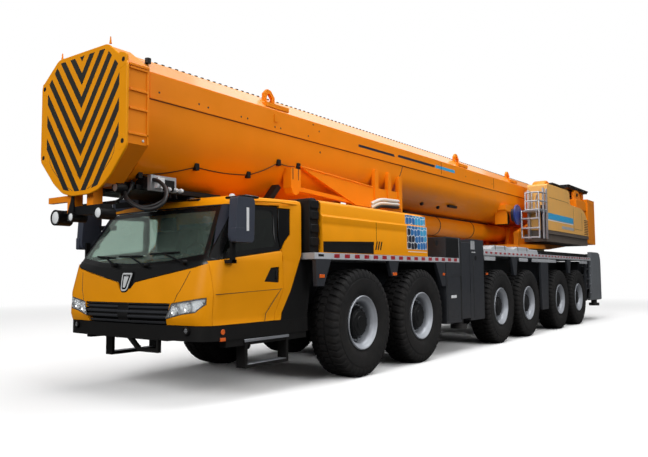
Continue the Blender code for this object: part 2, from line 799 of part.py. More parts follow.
# ---- superstructure ----
def side_plate_outline():
    return [
        (8.15, 2.06),
        (8.15, 2.42),
        (9.2, 2.70),
        (11.3, 3.50),
        *arc((PIVOT_Y, PIVOT_Z), BOSS_RADIUS + 0.04, 115, -20, 5),
        (12.75, 2.9),
        (12.9, 2.35),
        (12.6, 2.22),
        (10.6, 2.06),
    ]


def make_superstructure():
    deck_top = REAR_DECK[3]
    centre = (0, SLEW_Y)
    ring = cylinder("Z", centre, RING_RADIUS, deck_top + SEAT_GAP, RING_TOP, 32)
    node(ring, "slewing_ring", "cast_steel")

    disc = cylinder("Z", centre, RING_RADIUS + 0.04, RING_TOP + RUN_GAP, DISC_TOP, 32)
    pieces = both_sides(SIDE_PLATE, lambda x: prism("X", side_plate_outline(), *x))
    ears = [
        (8.85, 2.05),
        (CYLINDER_FOOT_Y - 0.2, CYLINDER_Z),
        *arc((CYLINDER_FOOT_Y, CYLINDER_Z), 0.2, 180, 0, 6),
        (9.65, 2.05),
    ]
    ear_range = (FOOT_HALF_WIDTH + RUN_GAP, FOOT_HALF_WIDTH + EAR_THICK)
    pieces += both_sides(ear_range, lambda x: prism("X", ears, *x))
    inner = SIDE_PLATE[0] + 0.01
    pieces += [
        box((-inner, inner), (9.95, 10.05), (2.07, 2.60)),
        box((-inner, inner), (9.95, 12.85), (2.25, 2.35)),
        box((-inner, inner), (12.80, 12.88), (2.26, 3.0)),
        box((-1.40, 1.40), (12.80, 13.40), (2.26, 2.42)),
    ]
    for side in (1, -1):
        tower = mirrored((0.90, 1.40), side)
        pieces.append(box(tower, (12.62, 13.42), (2.28, 3.60)))
        rack = mirrored((1.02, 1.30), side)
        pieces.append(box(rack, (11.00, 13.05), (3.80, 3.85)))
        pieces.append(box(mirrored((1.10, 1.22), side), (12.70, 12.90), (3.58, 3.82)))
        foot = mirrored((SIDE_PLATE[1] - 0.02, 1.40), side)
        pieces.append(box(foot, (8.60, 12.48), (2.20, 2.385)))
        pieces.append(box(mirrored((0.80, 1.15), side), (12.60, 12.75), (2.28, 2.6)))
    node(joined(disc, pieces), "turntable", "orange_paint")

    housing_side = [
        (8.60, 2.3853),
        (8.60, 3.62),
        (10.40, 3.64),
        (10.52, 3.56),
        (10.60, 3.27),
        (11.70, 3.25),
        (12.20, 3.12),
        (12.40, 2.85),
        (12.48, 2.3853),
    ]
    for side_name, side in SIDES:
        housing = prism("X", housing_side, *mirrored((0.95, 1.45), side))
        cover = cylinder("X", (8.97, 3.44), 0.32, *mirrored((1.02, 1.34), side))
        joined(housing, [cover])
        node(housing, f"machine_housing_{side_name}", "orange_paint")

    winch = cylinder("X", (13.12, 2.86), 0.20, -0.8997 + RUN_GAP, 0.8997 - RUN_GAP, 24)
    flanges = [
        cylinder("X", (13.12, 2.86), 0.30, *mirrored((0.80, 0.87), side)) for side in (1, -1)
    ]
    node(joined(winch, flanges), "winch_drum", "cast_steel")


def make_platform():
    """Aluminium access ladder and guarded platform on the superstructure's left side."""
    x_out = (1.40, 1.45)
    x_all = (0.97, 1.45)
    pieces = []
    for y in (7.10, 7.75, 8.45):
        low = 2.90 if y < 7.5 else 2.25
        pieces.append(box(x_out, (y, y + 0.05), (low, 3.50)))
    for z in (2.95, 3.20, 3.45):
        pieces.append(box(x_out, (7.11, 8.49), (z, z + 0.045)))
    for z in (2.30, 2.60):
        pieces.append(box(x_out, (7.76, 8.49), (z, z + 0.045)))
    pieces.append(box(x_all, (7.11, 8.5997), (2.90, 2.96)))
    pieces.append(box(x_all, (7.76, 8.5997), (2.25, 2.31)))
    pieces.append(box((0.97, 1.02), (8.45, 8.5997), (2.26, 3.48)))
    pieces.append(box(x_all, (8.45, 8.50), (3.44, 3.50)))
    first = box(x_out, (8.50, 8.5997), (2.25, 3.50))
    node(joined(first, pieces), "access_platform", "aluminium")


OPERATOR_CAB = ((-1.475, -0.76), (5.95, 7.70), (2.46, 3.90))
OPERATOR_WALL = 0.045


def make_operator_cab():
    x, y, z = OPERATOR_CAB
    wall = OPERATOR_WALL
    shape = [
        (y[0] + 0.10, z[0]),
        (y[0], z[0] + 0.45),
        (y[0] + 0.25, z[1]),
        (y[1], z[1]),
        (y[1], z[0]),
    ]
    inner_shape = [
        (y[0] + 0.10 + wall, z[0] + wall),
        (y[0] + wall, z[0] + 0.45),
        (y[0] + 0.25 + wall, z[1] - wall),
        (y[1] - wall, z[1] - wall),
        (y[1] - wall, z[0] + wall),
    ]
    shell = prism("X", shape, *x)
    cuts = [
        prism("X", inner_shape, x[0] + wall, x[1] - wall),
        box((x[0] - 0.1, x[0] + wall + 0.01), (6.75, 7.55), (z[0] + 0.08, z[1] - 0.12)),
        box((x[0] + 0.1, x[1] - 0.1), (y[0] - 0.3, y[0] + 0.32), (z[0] + 0.50, z[1] - 0.12)),
    ]
    bracket = [
        box((-1.40, -SIDE_PLATE[1] - SEAT_GAP), (7.60, 8.60 - SEAT_GAP), (2.36, 2.50)),
        box((-1.00, -SIDE_PLATE[1] - SEAT_GAP), (7.50, 8.30), (2.30, 2.50)),
    ]
    cut(shell, cuts)
    seat = box((-1.30, -0.95), (6.90, 7.40), (z[0] + wall - 0.01, 2.95))
    back = box((-1.30, -0.95), (7.30, 7.42), (2.90, 3.55))
    joined(shell, [*bracket, seat, back])
    node(shell, "operator_cab", "orange_paint")

    outside = x[0] - RUN_GAP
    door = box((outside - 0.02, outside), (6.72, 7.58), (z[0] + 0.06, z[1] - 0.10))
    window = box((outside - 0.1, outside + 0.1), (6.80, 7.50), (z[0] + 0.60, z[1] - 0.18))
    node(cut(door, [window]), "operator_door", "orange_paint")


# ---- boom ----
def boom_section(inset):
    """The boom's cross-section, set in all round: flat top, chamfers, sides and a round belly."""
    half = BOOM_HALF_WIDTH - inset
    top = BOOM_TOP - inset
    bottom = BOOM_BOTTOM + inset
    chamfer = 0.26
    belly = 0.50
    shoulder = top - 0.22
    waist = BOOM_BOTTOM + belly
    round_part = [
        (half * cos(radians(a)), waist - (waist - bottom) * sin(radians(a)))
        for a in (15, 35, 55, 75, 105, 125, 145, 165)
    ]
    return [
        (-half, waist),
        (-half, shoulder),
        (-half + chamfer, top),
        (half - chamfer, top),
        (half, shoulder),
        (half, waist),
        *round_part,
    ]


def front_belly():
    """The boom's deeper belly over the cab and the hood."""
    bottom, rise_from, rise_to = FRONT_BELLY
    half = BOOM_HALF_WIDTH - 0.004
    waist = BOOM_BOTTOM + 0.50
    across = [(-half, waist + 0.10), (half, waist + 0.10)]
    for a in range(0, 181, 15):
        turn = radians(a)
        across.append((half * cos(turn), waist - (waist - bottom) * sin(turn)))
    along = [
        (BOOM_FRONT_Y - 0.1, waist + 0.2),
        (BOOM_FRONT_Y - 0.1, bottom - 0.1),
        (rise_from, bottom - 0.07),
        (rise_to, BOOM_BOTTOM + 0.015),
        (rise_to, waist + 0.2),
    ]
    belly = prism("Y", across, BOOM_FRONT_Y + 0.003, rise_to + 0.1)
    return common(belly, [prism("X", along, -half - 0.1, half + 0.1)])


def tube(outer_inset, y_from, y_to):
    """One boom section: a tube closed at the back, with a close guide for the next one in front."""
    next_inset = outer_inset + BOOM_WALL + SLEEVE_GAP
    body = prism("Y", boom_section(outer_inset), y_from, y_to)
    bore = prism(
        "Y", boom_section(outer_inset + BOOM_WALL), y_from + GUIDE_LENGTH, y_to - 0.10
    )
    mouth = prism(
        "Y",
        boom_section(next_inset - RUN_GAP),
        y_from - 0.1,
        y_from + GUIDE_LENGTH + 0.01,
    )
    return body, [bore, mouth]


LIGHT_BRACKET = (           # x, y and z under the boom's head
    ((-0.34, -0.22), (-3.40, -3.28), (2.12, 2.45)),
    ((-0.30, 0.30), (-3.38, -3.26), (2.10, 2.20)),
    ((-0.56, -0.28), (-3.36, -3.30), (2.13, 2.17)),
    ((-0.79, -0.30), (-3.36, -3.30), (2.27, 2.34)),
    ((0.00, 0.12), (-3.38, -3.26), (2.15, 2.45)),
)
HEAD_LAMPS = ((-0.54, 2.09, 0.09), (-0.235, 2.08, 0.055), (0.27, 2.10, 0.07))     # x, z, radius


def make_boom():
    body, hollows = tube(0, BOOM_FRONT_Y, BOOM_BACK_Y)
    foot = prism(
        "X",
        [
            (BOOM_BACK_Y - 0.08, BOOM_BOTTOM + 0.2),
            (BOOM_BACK_Y - 0.08, BOOM_TOP - 0.02),
            *arc((PIVOT_Y, PIVOT_Z), BOSS_RADIUS, 80, -80, 8),
        ],
        -0.5,
        0.5,
    )
    boss = cylinder(
        "X", (PIVOT_Y, PIVOT_Z), BOSS_RADIUS - 0.03, RUN_GAP - SIDE_PLATE[0], SIDE_PLATE[0] - RUN_GAP
    )
    ears = [
        (CYLINDER_EYE_Y - 0.35, 2.60),
        (CYLINDER_EYE_Y - 0.35, 3.10),
        (CYLINDER_EYE_Y + 0.45, 3.10),
        (CYLINDER_EYE_Y + 0.45, 2.60),
        *arc((CYLINDER_EYE_Y, CYLINDER_Z), 0.18, -10, -170, 5),
    ]
    ear_range = (EYE_HALF_WIDTH + RUN_GAP, EYE_HALF_WIDTH + EAR_THICK)
    cradle_side = [
        (-0.50, 3.02),
        (0.90, 2.68),
        (2.90, 2.68),
        (2.90, 3.20),
        (0.90, 3.26),
        (-0.30, 3.10),
    ]
    cradle = prism("X", cradle_side, -BOOM_HALF_WIDTH - 0.03, BOOM_HALF_WIDTH + 0.03)
    lugs = both_sides((0.60, 0.74), lambda x: box(x, (-0.72, -0.44), (2.52, 3.05)))
    reel_bracket = box((0.5, 0.80), (7.45, 8.0), (2.78, 3.06))
    for y in HOOKS_Y:
        hook = [
            (y, HOOK_TOP - 0.26),
            (y + 0.20, HOOK_TOP - 0.26),
            (y + 0.20, HOOK_TOP - 0.10),
            (y + 0.05, HOOK_TOP),
            (y - 0.02, HOOK_TOP - 0.07),
        ]
        lugs.append(prism("X", hook, 0.47, 0.51))
    pieces = [foot, boss, cradle, *both_sides(ear_range, lambda x: prism("X", ears, *x))]
    joined(body, [*pieces, *lugs, reel_bracket, front_belly()])
    cut(body, hollows)
    node(body, "boom_base", "orange_paint")

    reel = cylinder("X", (7.90, 2.83), 0.25, 0.905, 0.94, 24)
    drum = cylinder("X", (7.90, 2.83), 0.16, 0.8005, 0.92, 20)
    node(joined(reel, [drum]), "cable_reel", "reel_blue")

    step = BOOM_WALL + SLEEVE_GAP
    mid_front = BOOM_FRONT_Y - COLLAR_LENGTH
    middle, hollows = tube(step, mid_front, BOOM_BACK_Y - 0.15)
    node(cut(middle, hollows), "boom_middle", "orange_paint")

    tip_back = BOOM_BACK_Y - 0.35
    tip = prism("Y", boom_section(2 * step), mid_front - 0.1, tip_back)
    core = boom_section(2 * step + BOOM_WALL)
    cut(tip, [prism("Y", core, BOOM_FRONT_Y, tip_back + 0.1)])
    head_front = HEAD_FACE_Y + COVER_THICK + SEAT_GAP
    head_shape = [
        (-0.78, 2.80),
        (-0.78, 3.66),
        (-0.46, 3.90),
        (0.46, 3.90),
        (0.78, 3.66),
        (0.78, 2.80),
        (0.35, 2.42),
        (-0.35, 2.42),
    ]
    head = prism("Y", head_shape, head_front, mid_front - 0.02)
    bracket = [box(*sizes) for sizes in LIGHT_BRACKET]
    lamps = [cylinder("Y", (x, z), radius, -3.42, -3.24, 16) for x, z, radius in HEAD_LAMPS]
    joined(tip, [head, *bracket, *lamps])
    node(tip, "boom_tip", "orange_paint")

    cover_shape = [
        (-HEAD_HALF_WIDTH, 2.76),
        (-HEAD_HALF_WIDTH, 3.66),
        (-0.46, HEAD_TOP),
        (0.46, HEAD_TOP),
        (HEAD_HALF_WIDTH, 3.66),
        (HEAD_HALF_WIDTH, 2.76),
        (0.52, HEAD_BOTTOM + 0.17),
        (0.34, HEAD_BOTTOM + 0.045),
        (0.16, HEAD_BOTTOM),
        (-0.16, HEAD_BOTTOM),
        (-0.34, HEAD_BOTTOM + 0.045),
        (-0.52, HEAD_BOTTOM + 0.17),
    ]
    cover = prism("Y", cover_shape, HEAD_FACE_Y, HEAD_FACE_Y + COVER_THICK)
    node(cover, "head_cover", "orange_paint")


def make_luffing_cylinder():
    centre = (0, CYLINDER_Z)
    eye_centre = (CYLINDER_FOOT_Y, CYLINDER_Z)
    barrel = cylinder("Y", centre, BARREL_RADIUS, BARREL_FRONT_Y, CYLINDER_FOOT_Y - 0.05)
    half = FOOT_HALF_WIDTH
    joined(barrel, [cylinder("X", eye_centre, 0.19, -half, half)])
    bore = cylinder(
        "Y", centre, ROD_RADIUS + RUN_GAP, BARREL_FRONT_Y - 0.1, CYLINDER_FOOT_Y - 0.45
    )
    node(cut(barrel, [bore]), "luffing_barrel", "orange_paint")

    rod = cylinder("Y", centre, ROD_RADIUS, CYLINDER_EYE_Y, CYLINDER_FOOT_Y - 0.6)
    eye = cylinder(
        "X", (CYLINDER_EYE_Y, CYLINDER_Z), 0.19, -EYE_HALF_WIDTH, EYE_HALF_WIDTH
    )
    node(joined(rod, [eye]), "luffing_rod", "chrome_rod")


make_wheels()
make_knuckles()
make_axle_train()
make_frame()
make_outriggers()
make_deck("front", FRONT_DECK)
make_deck("rear", REAR_DECK)
make_cab()
make_cab_interior()
make_bumper()
make_engine()
make_superstructure()
make_platform()
make_operator_cab()
make_boom()
make_luffing_cylinder()
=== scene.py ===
"""Looks of a six-axle truck-mounted crane, in metres and in the model's own frame.

+Z is up, the truck faces -Y and its left side is +X. Shapes give y from the first axle,
growing rearwards; a Piece turns it into the model's own Y.
"""

from math import cos, pi, radians, sin, tau

import bmesh
import bpy
from mathutils import Matrix, Vector


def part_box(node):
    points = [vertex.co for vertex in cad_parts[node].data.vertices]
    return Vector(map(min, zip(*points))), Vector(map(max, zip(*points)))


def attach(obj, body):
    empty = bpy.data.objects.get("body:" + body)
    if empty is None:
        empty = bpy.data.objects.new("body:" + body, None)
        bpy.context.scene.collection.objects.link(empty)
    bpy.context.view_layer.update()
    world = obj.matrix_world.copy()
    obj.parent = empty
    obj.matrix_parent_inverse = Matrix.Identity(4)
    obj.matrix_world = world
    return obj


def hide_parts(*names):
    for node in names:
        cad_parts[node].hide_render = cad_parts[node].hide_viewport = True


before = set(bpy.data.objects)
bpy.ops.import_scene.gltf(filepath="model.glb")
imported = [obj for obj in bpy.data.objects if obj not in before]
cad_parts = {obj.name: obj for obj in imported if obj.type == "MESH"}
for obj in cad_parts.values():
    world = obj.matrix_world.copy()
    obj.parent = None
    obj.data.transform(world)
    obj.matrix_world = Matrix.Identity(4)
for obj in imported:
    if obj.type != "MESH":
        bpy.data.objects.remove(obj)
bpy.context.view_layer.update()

BOTH = (-1, 1)              # the mirror image first: what a piece gets next is not mirrored
SIDES = (("left", 1), ("right", -1))
FIRST_AXLE = sum(corner.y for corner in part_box("wheel_1_left")) / 2
ORIGIN = Vector((0.0, FIRST_AXLE, 0.0))


# ---- materials ----
PATCH = 0.35                # size of a finish's broad patches
DUST = "#8A7F70"
DUST_FADES, DUST_FULL = 1.3, 0.2        # heights between which road dust thickens
DUST_SPECKS = 9.0           # specks of dust in a metre
IOR = 1.5
COAT_ROUGHNESS = 0.06


def linear(code):
    """An sRGB hex colour as linear RGBA."""
    parts = [int(code[i : i + 2], 16) / 255 for i in (1, 3, 5)]
    return (*[p / 12.92 if p <= 0.04045 else ((p + 0.055) / 1.055) ** 2.4 for p in parts], 1.0)


def add(tree, kind, inputs=None, **settings):
    """Adds a node with its settings; each input gets a value or another node's output."""
    node = tree.nodes.new("ShaderNode" + kind)
    for name, value in settings.items():
        setattr(node, name, value)
    for name, value in (inputs or {}).items():
        if isinstance(value, bpy.types.NodeSocket):
            tree.links.new(value, node.inputs[name])
        else:
            node.inputs[name].default_value = value
    return node


def spread(tree, value, from_low, from_high, low, high):
    """A value's range mapped onto another."""
    ranges = {0: value, 1: from_low, 2: from_high, 3: low, 4: high}
    return add(tree, "MapRange", ranges).outputs[0]


def new_material(name):
    """A material with an empty tree, its tree and its output node."""
    made = bpy.data.materials.new(name)
    made.use_nodes = True
    made.node_tree.nodes.clear()
    return made, made.node_tree, add(made.node_tree, "OutputMaterial")


def surface(name, colour, roughness, grain=0.003, relief=0.05, mottle=0.06, specular=0.5,
            coat=0.0, dust=0.0, metallic=0.0):
    """A solid finish: fine grain in relief, broad tone changes, and dust that settles low down.

    grain is the size of the surface's grain and relief its strength.
    """
    made, tree, output = new_material(name)
    place = add(tree, "TexCoord").outputs["Object"]
    fine = add(tree, "TexNoise", {"Vector": place, "Scale": 1 / grain, "Detail": 2.0})
    broad = add(tree, "TexNoise", {"Vector": place, "Scale": 1 / PATCH, "Detail": 4.0}).outputs[0]
    tone = spread(tree, broad, 0.3, 0.7, 1 - mottle, 1 + mottle)
    base = add(
        tree, "Mix", {0: 1.0, 6: linear(colour), 7: tone}, data_type="RGBA", blend_type="MULTIPLY"
    ).outputs[2]
    rough = spread(tree, broad, 0.25, 0.75, roughness * 0.82, min(roughness * 1.2, 1.0))
    if dust:
        height = add(tree, "SeparateXYZ", {0: place}).outputs[2]
        low = spread(tree, height, DUST_FADES, DUST_FULL, 0.0, dust)
        grit = {"Vector": place, "Scale": DUST_SPECKS, "Detail": 5.0}
        speck = add(tree, "TexNoise", grit).outputs[0]
        amount = add(tree, "Math", {0: low, 1: speck}, operation="MULTIPLY").outputs[0]
        base = add(tree, "Mix", {0: amount, 6: base, 7: linear(DUST)}, data_type="RGBA").outputs[2]
    bump = add(tree, "Bump", {"Height": fine.outputs[0], "Strength": relief, "Distance": grain})
    shader = add(
        tree, "BsdfPrincipled",
        {"Base Color": base, "Roughness": rough, "Metallic": metallic, "IOR": IOR,
         "Coat Weight": coat, "Coat Roughness": COAT_ROUGHNESS, "Specular IOR Level": specular,
         "Normal": bump.outputs[0]},
    )
    tree.links.new(shader.outputs[0], output.inputs[0])
    return made


def clear_glass(name, colour):
    """Safety glass: see-through, tinted in its mass, with a polished face."""
    made, tree, output = new_material(name)
    place = add(tree, "TexCoord").outputs["Object"]
    film = add(tree, "TexNoise", {"Vector": place, "Scale": 2.2, "Detail": 3.0}).outputs[0]
    shader = add(
        tree, "BsdfPrincipled",
        {"Base Color": linear(colour), "Roughness": spread(tree, film, 0.3, 0.8, 0.02, 0.07),
         "IOR": IOR, "Transmission Weight": 0.9},
    )
    tree.links.new(shader.outputs[0], output.inputs[0])
    return made


# Each finish: name, colour, roughness, grain, relief.
# Two-pack enamel over steel: an even warm orange with a soft gloss and a faint orange-peel, painted
# yellower than the boom's copy as painted front light.
ENAMEL = surface("orange_enamel", "#EE9802", 0.46, 0.004, 0.03, 0.03, 0.16)
# The same enamel on the boom and superstructure, painted deeper and redder as painted shade of
# faces turned from the front light, and a little flatter.
SHADED_ENAMEL = surface("shaded_enamel", "#F08802", 0.45, 0.004, 0.03, 0.03, 0.22, coat=0.12)
# The same enamel on the boom's top slopes: polished, so that it mirrors the light from behind, and
# painted paler and yellower as a painted highlight.
HIGHLIT_ENAMEL = surface("highlit_top_enamel", "#F09220", 0.42, 0.004, 0.02, 0.03, coat=0.6)
# The housings' coat has dulled in the sun to a sandy orange.
HOUSING_ENAMEL = surface("sanded_enamel", "#E8B060", 0.5, 0.004, 0.04, 0.05, 0.35)
# Painted shade: dark brown for the shadow under the boom's side ledge and between the housings'
# louvre slats.
SHADE_BROWN = surface("shade_brown", "#6A3A0C", 0.6)
# Dull brown-grey band along the foot of the housings.
BAND_BROWN = surface("band_brown", "#5E544C", 0.6, relief=0.1)
# Chassis paint: dark blue-grey, half gloss, with road dust low down.
FRAME_PAINT = surface("chassis_paint", "#282B31", 0.5, relief=0.06, dust=0.12)
# Slate-grey coat of the rear covers, a little chalky.
SLATE_COVER = surface("slate_cover", "#6A6E73", 0.55, 0.004, mottle=0.1, dust=0.1)
# Deck plates: pale zinc-grey paint, scuffed.
DECK_PAINT = surface("deck_paint", "#A9ACB0", 0.5, relief=0.1, mottle=0.1)
# Moulded plastic with a fine leather-like texture, nearly black.
BLACK_MOULDING = surface(
    "black_moulding", "#070708", 0.6, 0.0015, 0.2, specular=0.25, dust=0.03
)
# Gloss black panels below the windscreen and in the grille.
GLOSS_BLACK = surface("gloss_black", "#101112", 0.25, 0.01, 0.01, specular=0.35)
# Grille bars: charcoal moulding, a little lighter than its frame.
GRILLE_BAR = surface("grille_bar", "#26282C", 0.4, 0.002, 0.1)
# Pillar covers: deep blue-black moulding.
PILLAR_BLACK = surface("pillar_moulding", "#1D2230", 0.5, 0.002, 0.08, specular=0.3)
# Slate-coloured moulding of the mirrors and the roof unit.
SLATE_MOULDING = surface("slate_moulding", "#3A3F4B", 0.4, 0.0015, 0.12, specular=0.4)
# Tyre rubber: dull black with grey dust worked into it.
RUBBER = surface("tyre_rubber", "#101114", 0.85, 0.006, 0.35, 0.15, 0.3, dust=0.06)
# Rim paint: light silver-grey with brake dust.
RIM_PAINT = surface("rim_paint", "#A9ADB4", 0.42, 0.002, mottle=0.1, metallic=0.3)
# Hub paint: near-black, oily.
HUB_PAINT = surface("hub_paint", "#0D0E10", 0.5, 0.003, 0.1, 0.15, 0.3)
# Cast steel of axles and jacks.
CAST_STEEL = surface("cast_steel", "#1A1B1E", 0.55, 0.004, 0.3, 0.15, dust=0.15)
# Mill-finish aluminium of ladders and rails.
ALUMINIUM = surface("mill_aluminium", "#B9BDC4", 0.38, 0.002, 0.1, metallic=0.85)
# Hard chrome of the cylinder rod.
CHROME = surface("hard_chrome", "#D5D7DA", 0.12, 0.002, 0.01, 0.02, metallic=1.0)
# Retroreflective tape.
TAPE_RED = surface("red_tape", "#A3202C", 0.3, 0.002, 0.1)
TAPE_WHITE = surface("white_tape", "#BBBDC2", 0.3, 0.002, 0.1)
# Safety paint of the chevrons.
CHEVRON_BLACK = surface("chevron_black", "#1C1C17", 0.5)
# Decal film.
FILM_BLUE = surface("blue_film", "#1B6FB4", 0.35, relief=0.02)
FILM_SKY = surface("sky_film", "#36A6DA", 0.35, relief=0.02)
FILM_DARK = surface("dark_film", "#1A2233", 0.35, relief=0.02)
FILM_WHITE = surface("white_film", "#E6E8EA", 0.35, relief=0.02)
# Reel enamel.
REEL_BLUE = surface("reel_enamel", "#0F3080", 0.35, relief=0.04, coat=0.3)
# Grease-stained ring gear.
RING_GEAR = surface("greased_ring", "#574F2C", 0.5, 0.004, 0.25, 0.25)
# Hose rubber, and the pale wrap of bundled hoses.
HOSE = surface("hose_rubber", "#101113", 0.5, 0.002, 0.15)
WRAP = surface("hose_wrap", "#D9D8D2", 0.6, 0.004, 0.4)
# Lamp parts: bright reflectors under polished covers. The badge's chrome rings take the same pale
# finish, whose near-white colour is a painted reflection.
REFLECTOR = surface("lamp_reflector", "#EDF0F2", 0.22, 0.01, 0.02, metallic=0.35)
LAMP_LENS = surface("lamp_lens", "#F4F7F8", 0.15, 0.004, 0.02, coat=0.6)
AMBER = surface("amber_lens", "#E4641A", 0.25, 0.004, 0.1, coat=0.4)
RED_LENS = surface("red_lens", "#9C1716", 0.25, 0.004, 0.1, coat=0.4)
# Seat cloth and trim of the driver's cab.
SEAT_CLOTH = surface("seat_cloth", "#2B2D31", 0.9, 0.0012, 0.5)
TRIM_GREY = surface("cab_trim", "#6F747A", 0.7, 0.002, 0.2)
# Clear covers of the head lamps.
LAMP_GLASS = clear_glass("lamp_cover", "#F4F6F7")
# Laminated windscreen, grey-green through its thickness, and the paler or darker side glass.
SCREEN_GLASS = clear_glass("screen_glass", "#A6BDB1")
PALE_GLASS = clear_glass("pale_glass", "#EFF8F3")
SIDE_GLASS = clear_glass("side_glass", "#3C4440")


# ---- shapes ----
CREASE = 38                 # degrees between faces that still shade as one
THIN = 1e-5
NODE_EDGE, NODE_CREASE = 0.006, 35      # edge radius and crease of the CAD nodes
NODE_FLAT = 0.5             # degrees between faces of a CAD node that are joined


def swept(points, steps):
    """Points on a smooth curve through the given ones."""
    path = [Vector(p) for p in points]
    path = [path[0] * 2 - path[1], *path, path[-1] * 2 - path[-2]]
    found = []
    for a, b, c, d in zip(path, path[1:], path[2:], path[3:]):
        for i in range(steps):
            t = i / steps
            found.append(
                0.5 * (b * 2 + (c - a) * t + (a * 2 - b * 5 + c * 4 - d) * t * t
                       + (b * 3 - a - c * 3 + d) * t ** 3)
            )
    return [*found, path[-2]]


def rounded(outline, radius, steps=4):
    """An outline with each corner turned into an arc."""
    made = []
    for i, corner in enumerate(outline):
        corner = Vector(corner)
        before = Vector(outline[i - 1]) - corner
        after = Vector(outline[(i + 1) % len(outline)]) - corner
        reach = min(radius, before.length * 0.49, after.length * 0.49)
        if reach < THIN:
            made.append(tuple(corner))
            continue
        start = corner + before.normalized() * reach
        end = corner + after.normalized() * reach
        for step in range(steps + 1):
            t = step / steps
            made.append(tuple(start * (1 - t) ** 2 + corner * 2 * t * (1 - t) + end * t * t))
    return made


def oblong(a, b):
    """A rectangular outline between (low, high) pairs."""
    return [(a[0], b[0]), (a[1], b[0]), (a[1], b[1]), (a[0], b[1])]


def offset(outline, by):
    """An outline moved outwards by this much, its points kept."""
    pairs = list(zip(outline[-1:] + outline[:-1], outline))
    turn = 1 if sum(a[0] * b[1] - b[0] * a[1] for a, b in pairs) > 0 else -1
    made = []
    for (before, point), (_, after) in zip(pairs, pairs[1:] + pairs[:1]):
        point = Vector(point)
        back = (point - Vector(before)).normalized()
        ahead = (Vector(after) - point).normalized()
        out = Vector((back.y + ahead.y, -back.x - ahead.x)) * turn
        made.append(tuple(point + out * by / max(1 + back.dot(ahead), 0.3)))
    return made


def arc(centre, radius, start, end, steps):
    """Points on an arc between two angles in degrees."""
    turns = [radians(start + (end - start) * i / steps) for i in range(steps + 1)]
    return [(centre[0] + radius * cos(t), centre[1] + radius * sin(t)) for t in turns]


class Piece:
    """Gathers the shapes of one piece, each in one of its materials.

    While side is -1, everything that is added comes out mirrored in x.
    """

    def __init__(self, name, body, *materials, origin=ORIGIN):
        self.name = name
        self.body = body
        self.materials = materials
        self.origin = origin
        self.side = 1
        self.bm = bmesh.new()

    def on_side(self, point):
        """A point, mirrored if the piece's present side is."""
        x, y, z = point
        return Vector((x * self.side, y, z))

    def add(self, points, faces, tone=0):
        corners = [self.bm.verts.new(self.on_side(point) + self.origin) for point in points]
        for face in faces:
            made = self.bm.faces.new([corners[i] for i in face])
            made.material_index = tone
            made.smooth = True

    def box(self, x, y, z, tone=0):
        """A block between (low, high) pairs."""
        points = [(a, b, c) for a in x for b in y for c in z]
        faces = [(0, 1, 3, 2), (4, 6, 7, 5), (0, 4, 5, 1), (2, 3, 7, 6), (0, 2, 6, 4), (1, 5, 7, 3)]
        self.add(points, faces, tone)

    def plate(self, axis, outline, low, high, tone=0, corner=0.0):
        """An outline of (y, z), (x, z) or (x, y) points made thick along X, Y or Z."""
        if corner:
            outline = rounded(outline, corner)
        place = {
            "X": lambda a, b, c: (c, a, b),
            "Y": lambda a, b, c: (a, c, b),
            "Z": lambda a, b, c: (a, b, c),
        }[axis]
        self.rings([[place(a, b, level) for a, b in outline] for level in (low, high)], tone)

    def rings(self, rings, tone=0, caps=True):
        """A skin over closed rings of points, each ring with as many points."""
        count = len(rings[0])
        points = [point for ring in rings for point in ring]
        faces = []
        for low in range(0, len(points) - count, count):
            for i in range(count):
                j = (i + 1) % count
                faces.append((low + i, low + j, low + count + j, low + count + i))
        if caps:
            faces.append(tuple(range(count)))
            faces.append(tuple(range(len(points) - count, len(points))))
        self.add(points, faces, tone)

    def tube(self, path, radius, tone=0, sides=6):
        """A round bar, hose or pipe along a path."""
        # The bar is laid out on the mirrored path, then mirrored back for add().
        path = [self.on_side(point) for point in path]
        rings = []
        across = None
        for i, point in enumerate(path):
            ahead = (path[min(i + 1, len(path) - 1)] - path[max(i - 1, 0)]).normalized()
            if across is None:
                across = ahead.orthogonal().normalized()
            across = (across - ahead * across.dot(ahead)).normalized()
            up = ahead.cross(across)
            turns = [tau * k / sides for k in range(sides)]
            ring = [point + (across * cos(a) + up * sin(a)) * radius for a in turns]
            rings.append([self.on_side(corner) for corner in ring])
        self.rings(rings, tone)

    def line(self, x, points, radius, tone=0, sides=6):
        """A tube through (y, z) points at one x."""
        self.tube([(x, y, z) for y, z in points], radius, tone, sides)

    def turned(self, axis, centre, profile, tone=0, sides=32, caps=True):
        """A profile of (radius, place along the axis) turned round it."""
        rings = []
        for radius, along in profile:
            ring = []
            for k in range(sides):
                a = centre[0] + radius * cos(tau * k / sides)
                b = centre[1] + radius * sin(tau * k / sides)
                ring.append({"X": (along, a, b), "Y": (a, along, b), "Z": (a, b, along)}[axis])
            rings.append(ring)
        self.rings(rings, tone, caps)

    def disc(self, axis, centre, radius, low, high, tone=0, sides=32):
        """A round plate between two places on the axis."""
        profile = ((0.0, low), (radius, low), (radius, high), (0.0, high))
        self.turned(axis, centre, profile, tone, sides)

    def shape(self):
        """The gathered mesh as an object that rides on nothing yet."""
        bmesh.ops.recalc_face_normals(self.bm, faces=self.bm.faces)
        mesh = bpy.data.meshes.new(self.name)
        self.bm.to_mesh(mesh)
        self.bm.free()
        for material in self.materials:
            mesh.materials.append(material)
        return placed(self.name, mesh)

    def done(self, bevel=0.0, angle=CREASE, stands_for=()):
        """The finished piece on its body, its edges rounded by bevel."""
        return settled(self.shape(), self.body, bevel, angle, stands_for)


def placed(name, data):
    """A new object in the scene."""
    made = bpy.data.objects.new(name, data)
    bpy.context.scene.collection.objects.link(made)
    return made


def bevelled(made, width, angle):
    """Rounds the edges sharper than angle."""
    edge = made.modifiers.new("edge", "BEVEL")
    edge.width = width
    edge.segments = 2
    edge.limit_method = "ANGLE"
    edge.angle_limit = radians(angle)
    edge.use_clamp_overlap = True


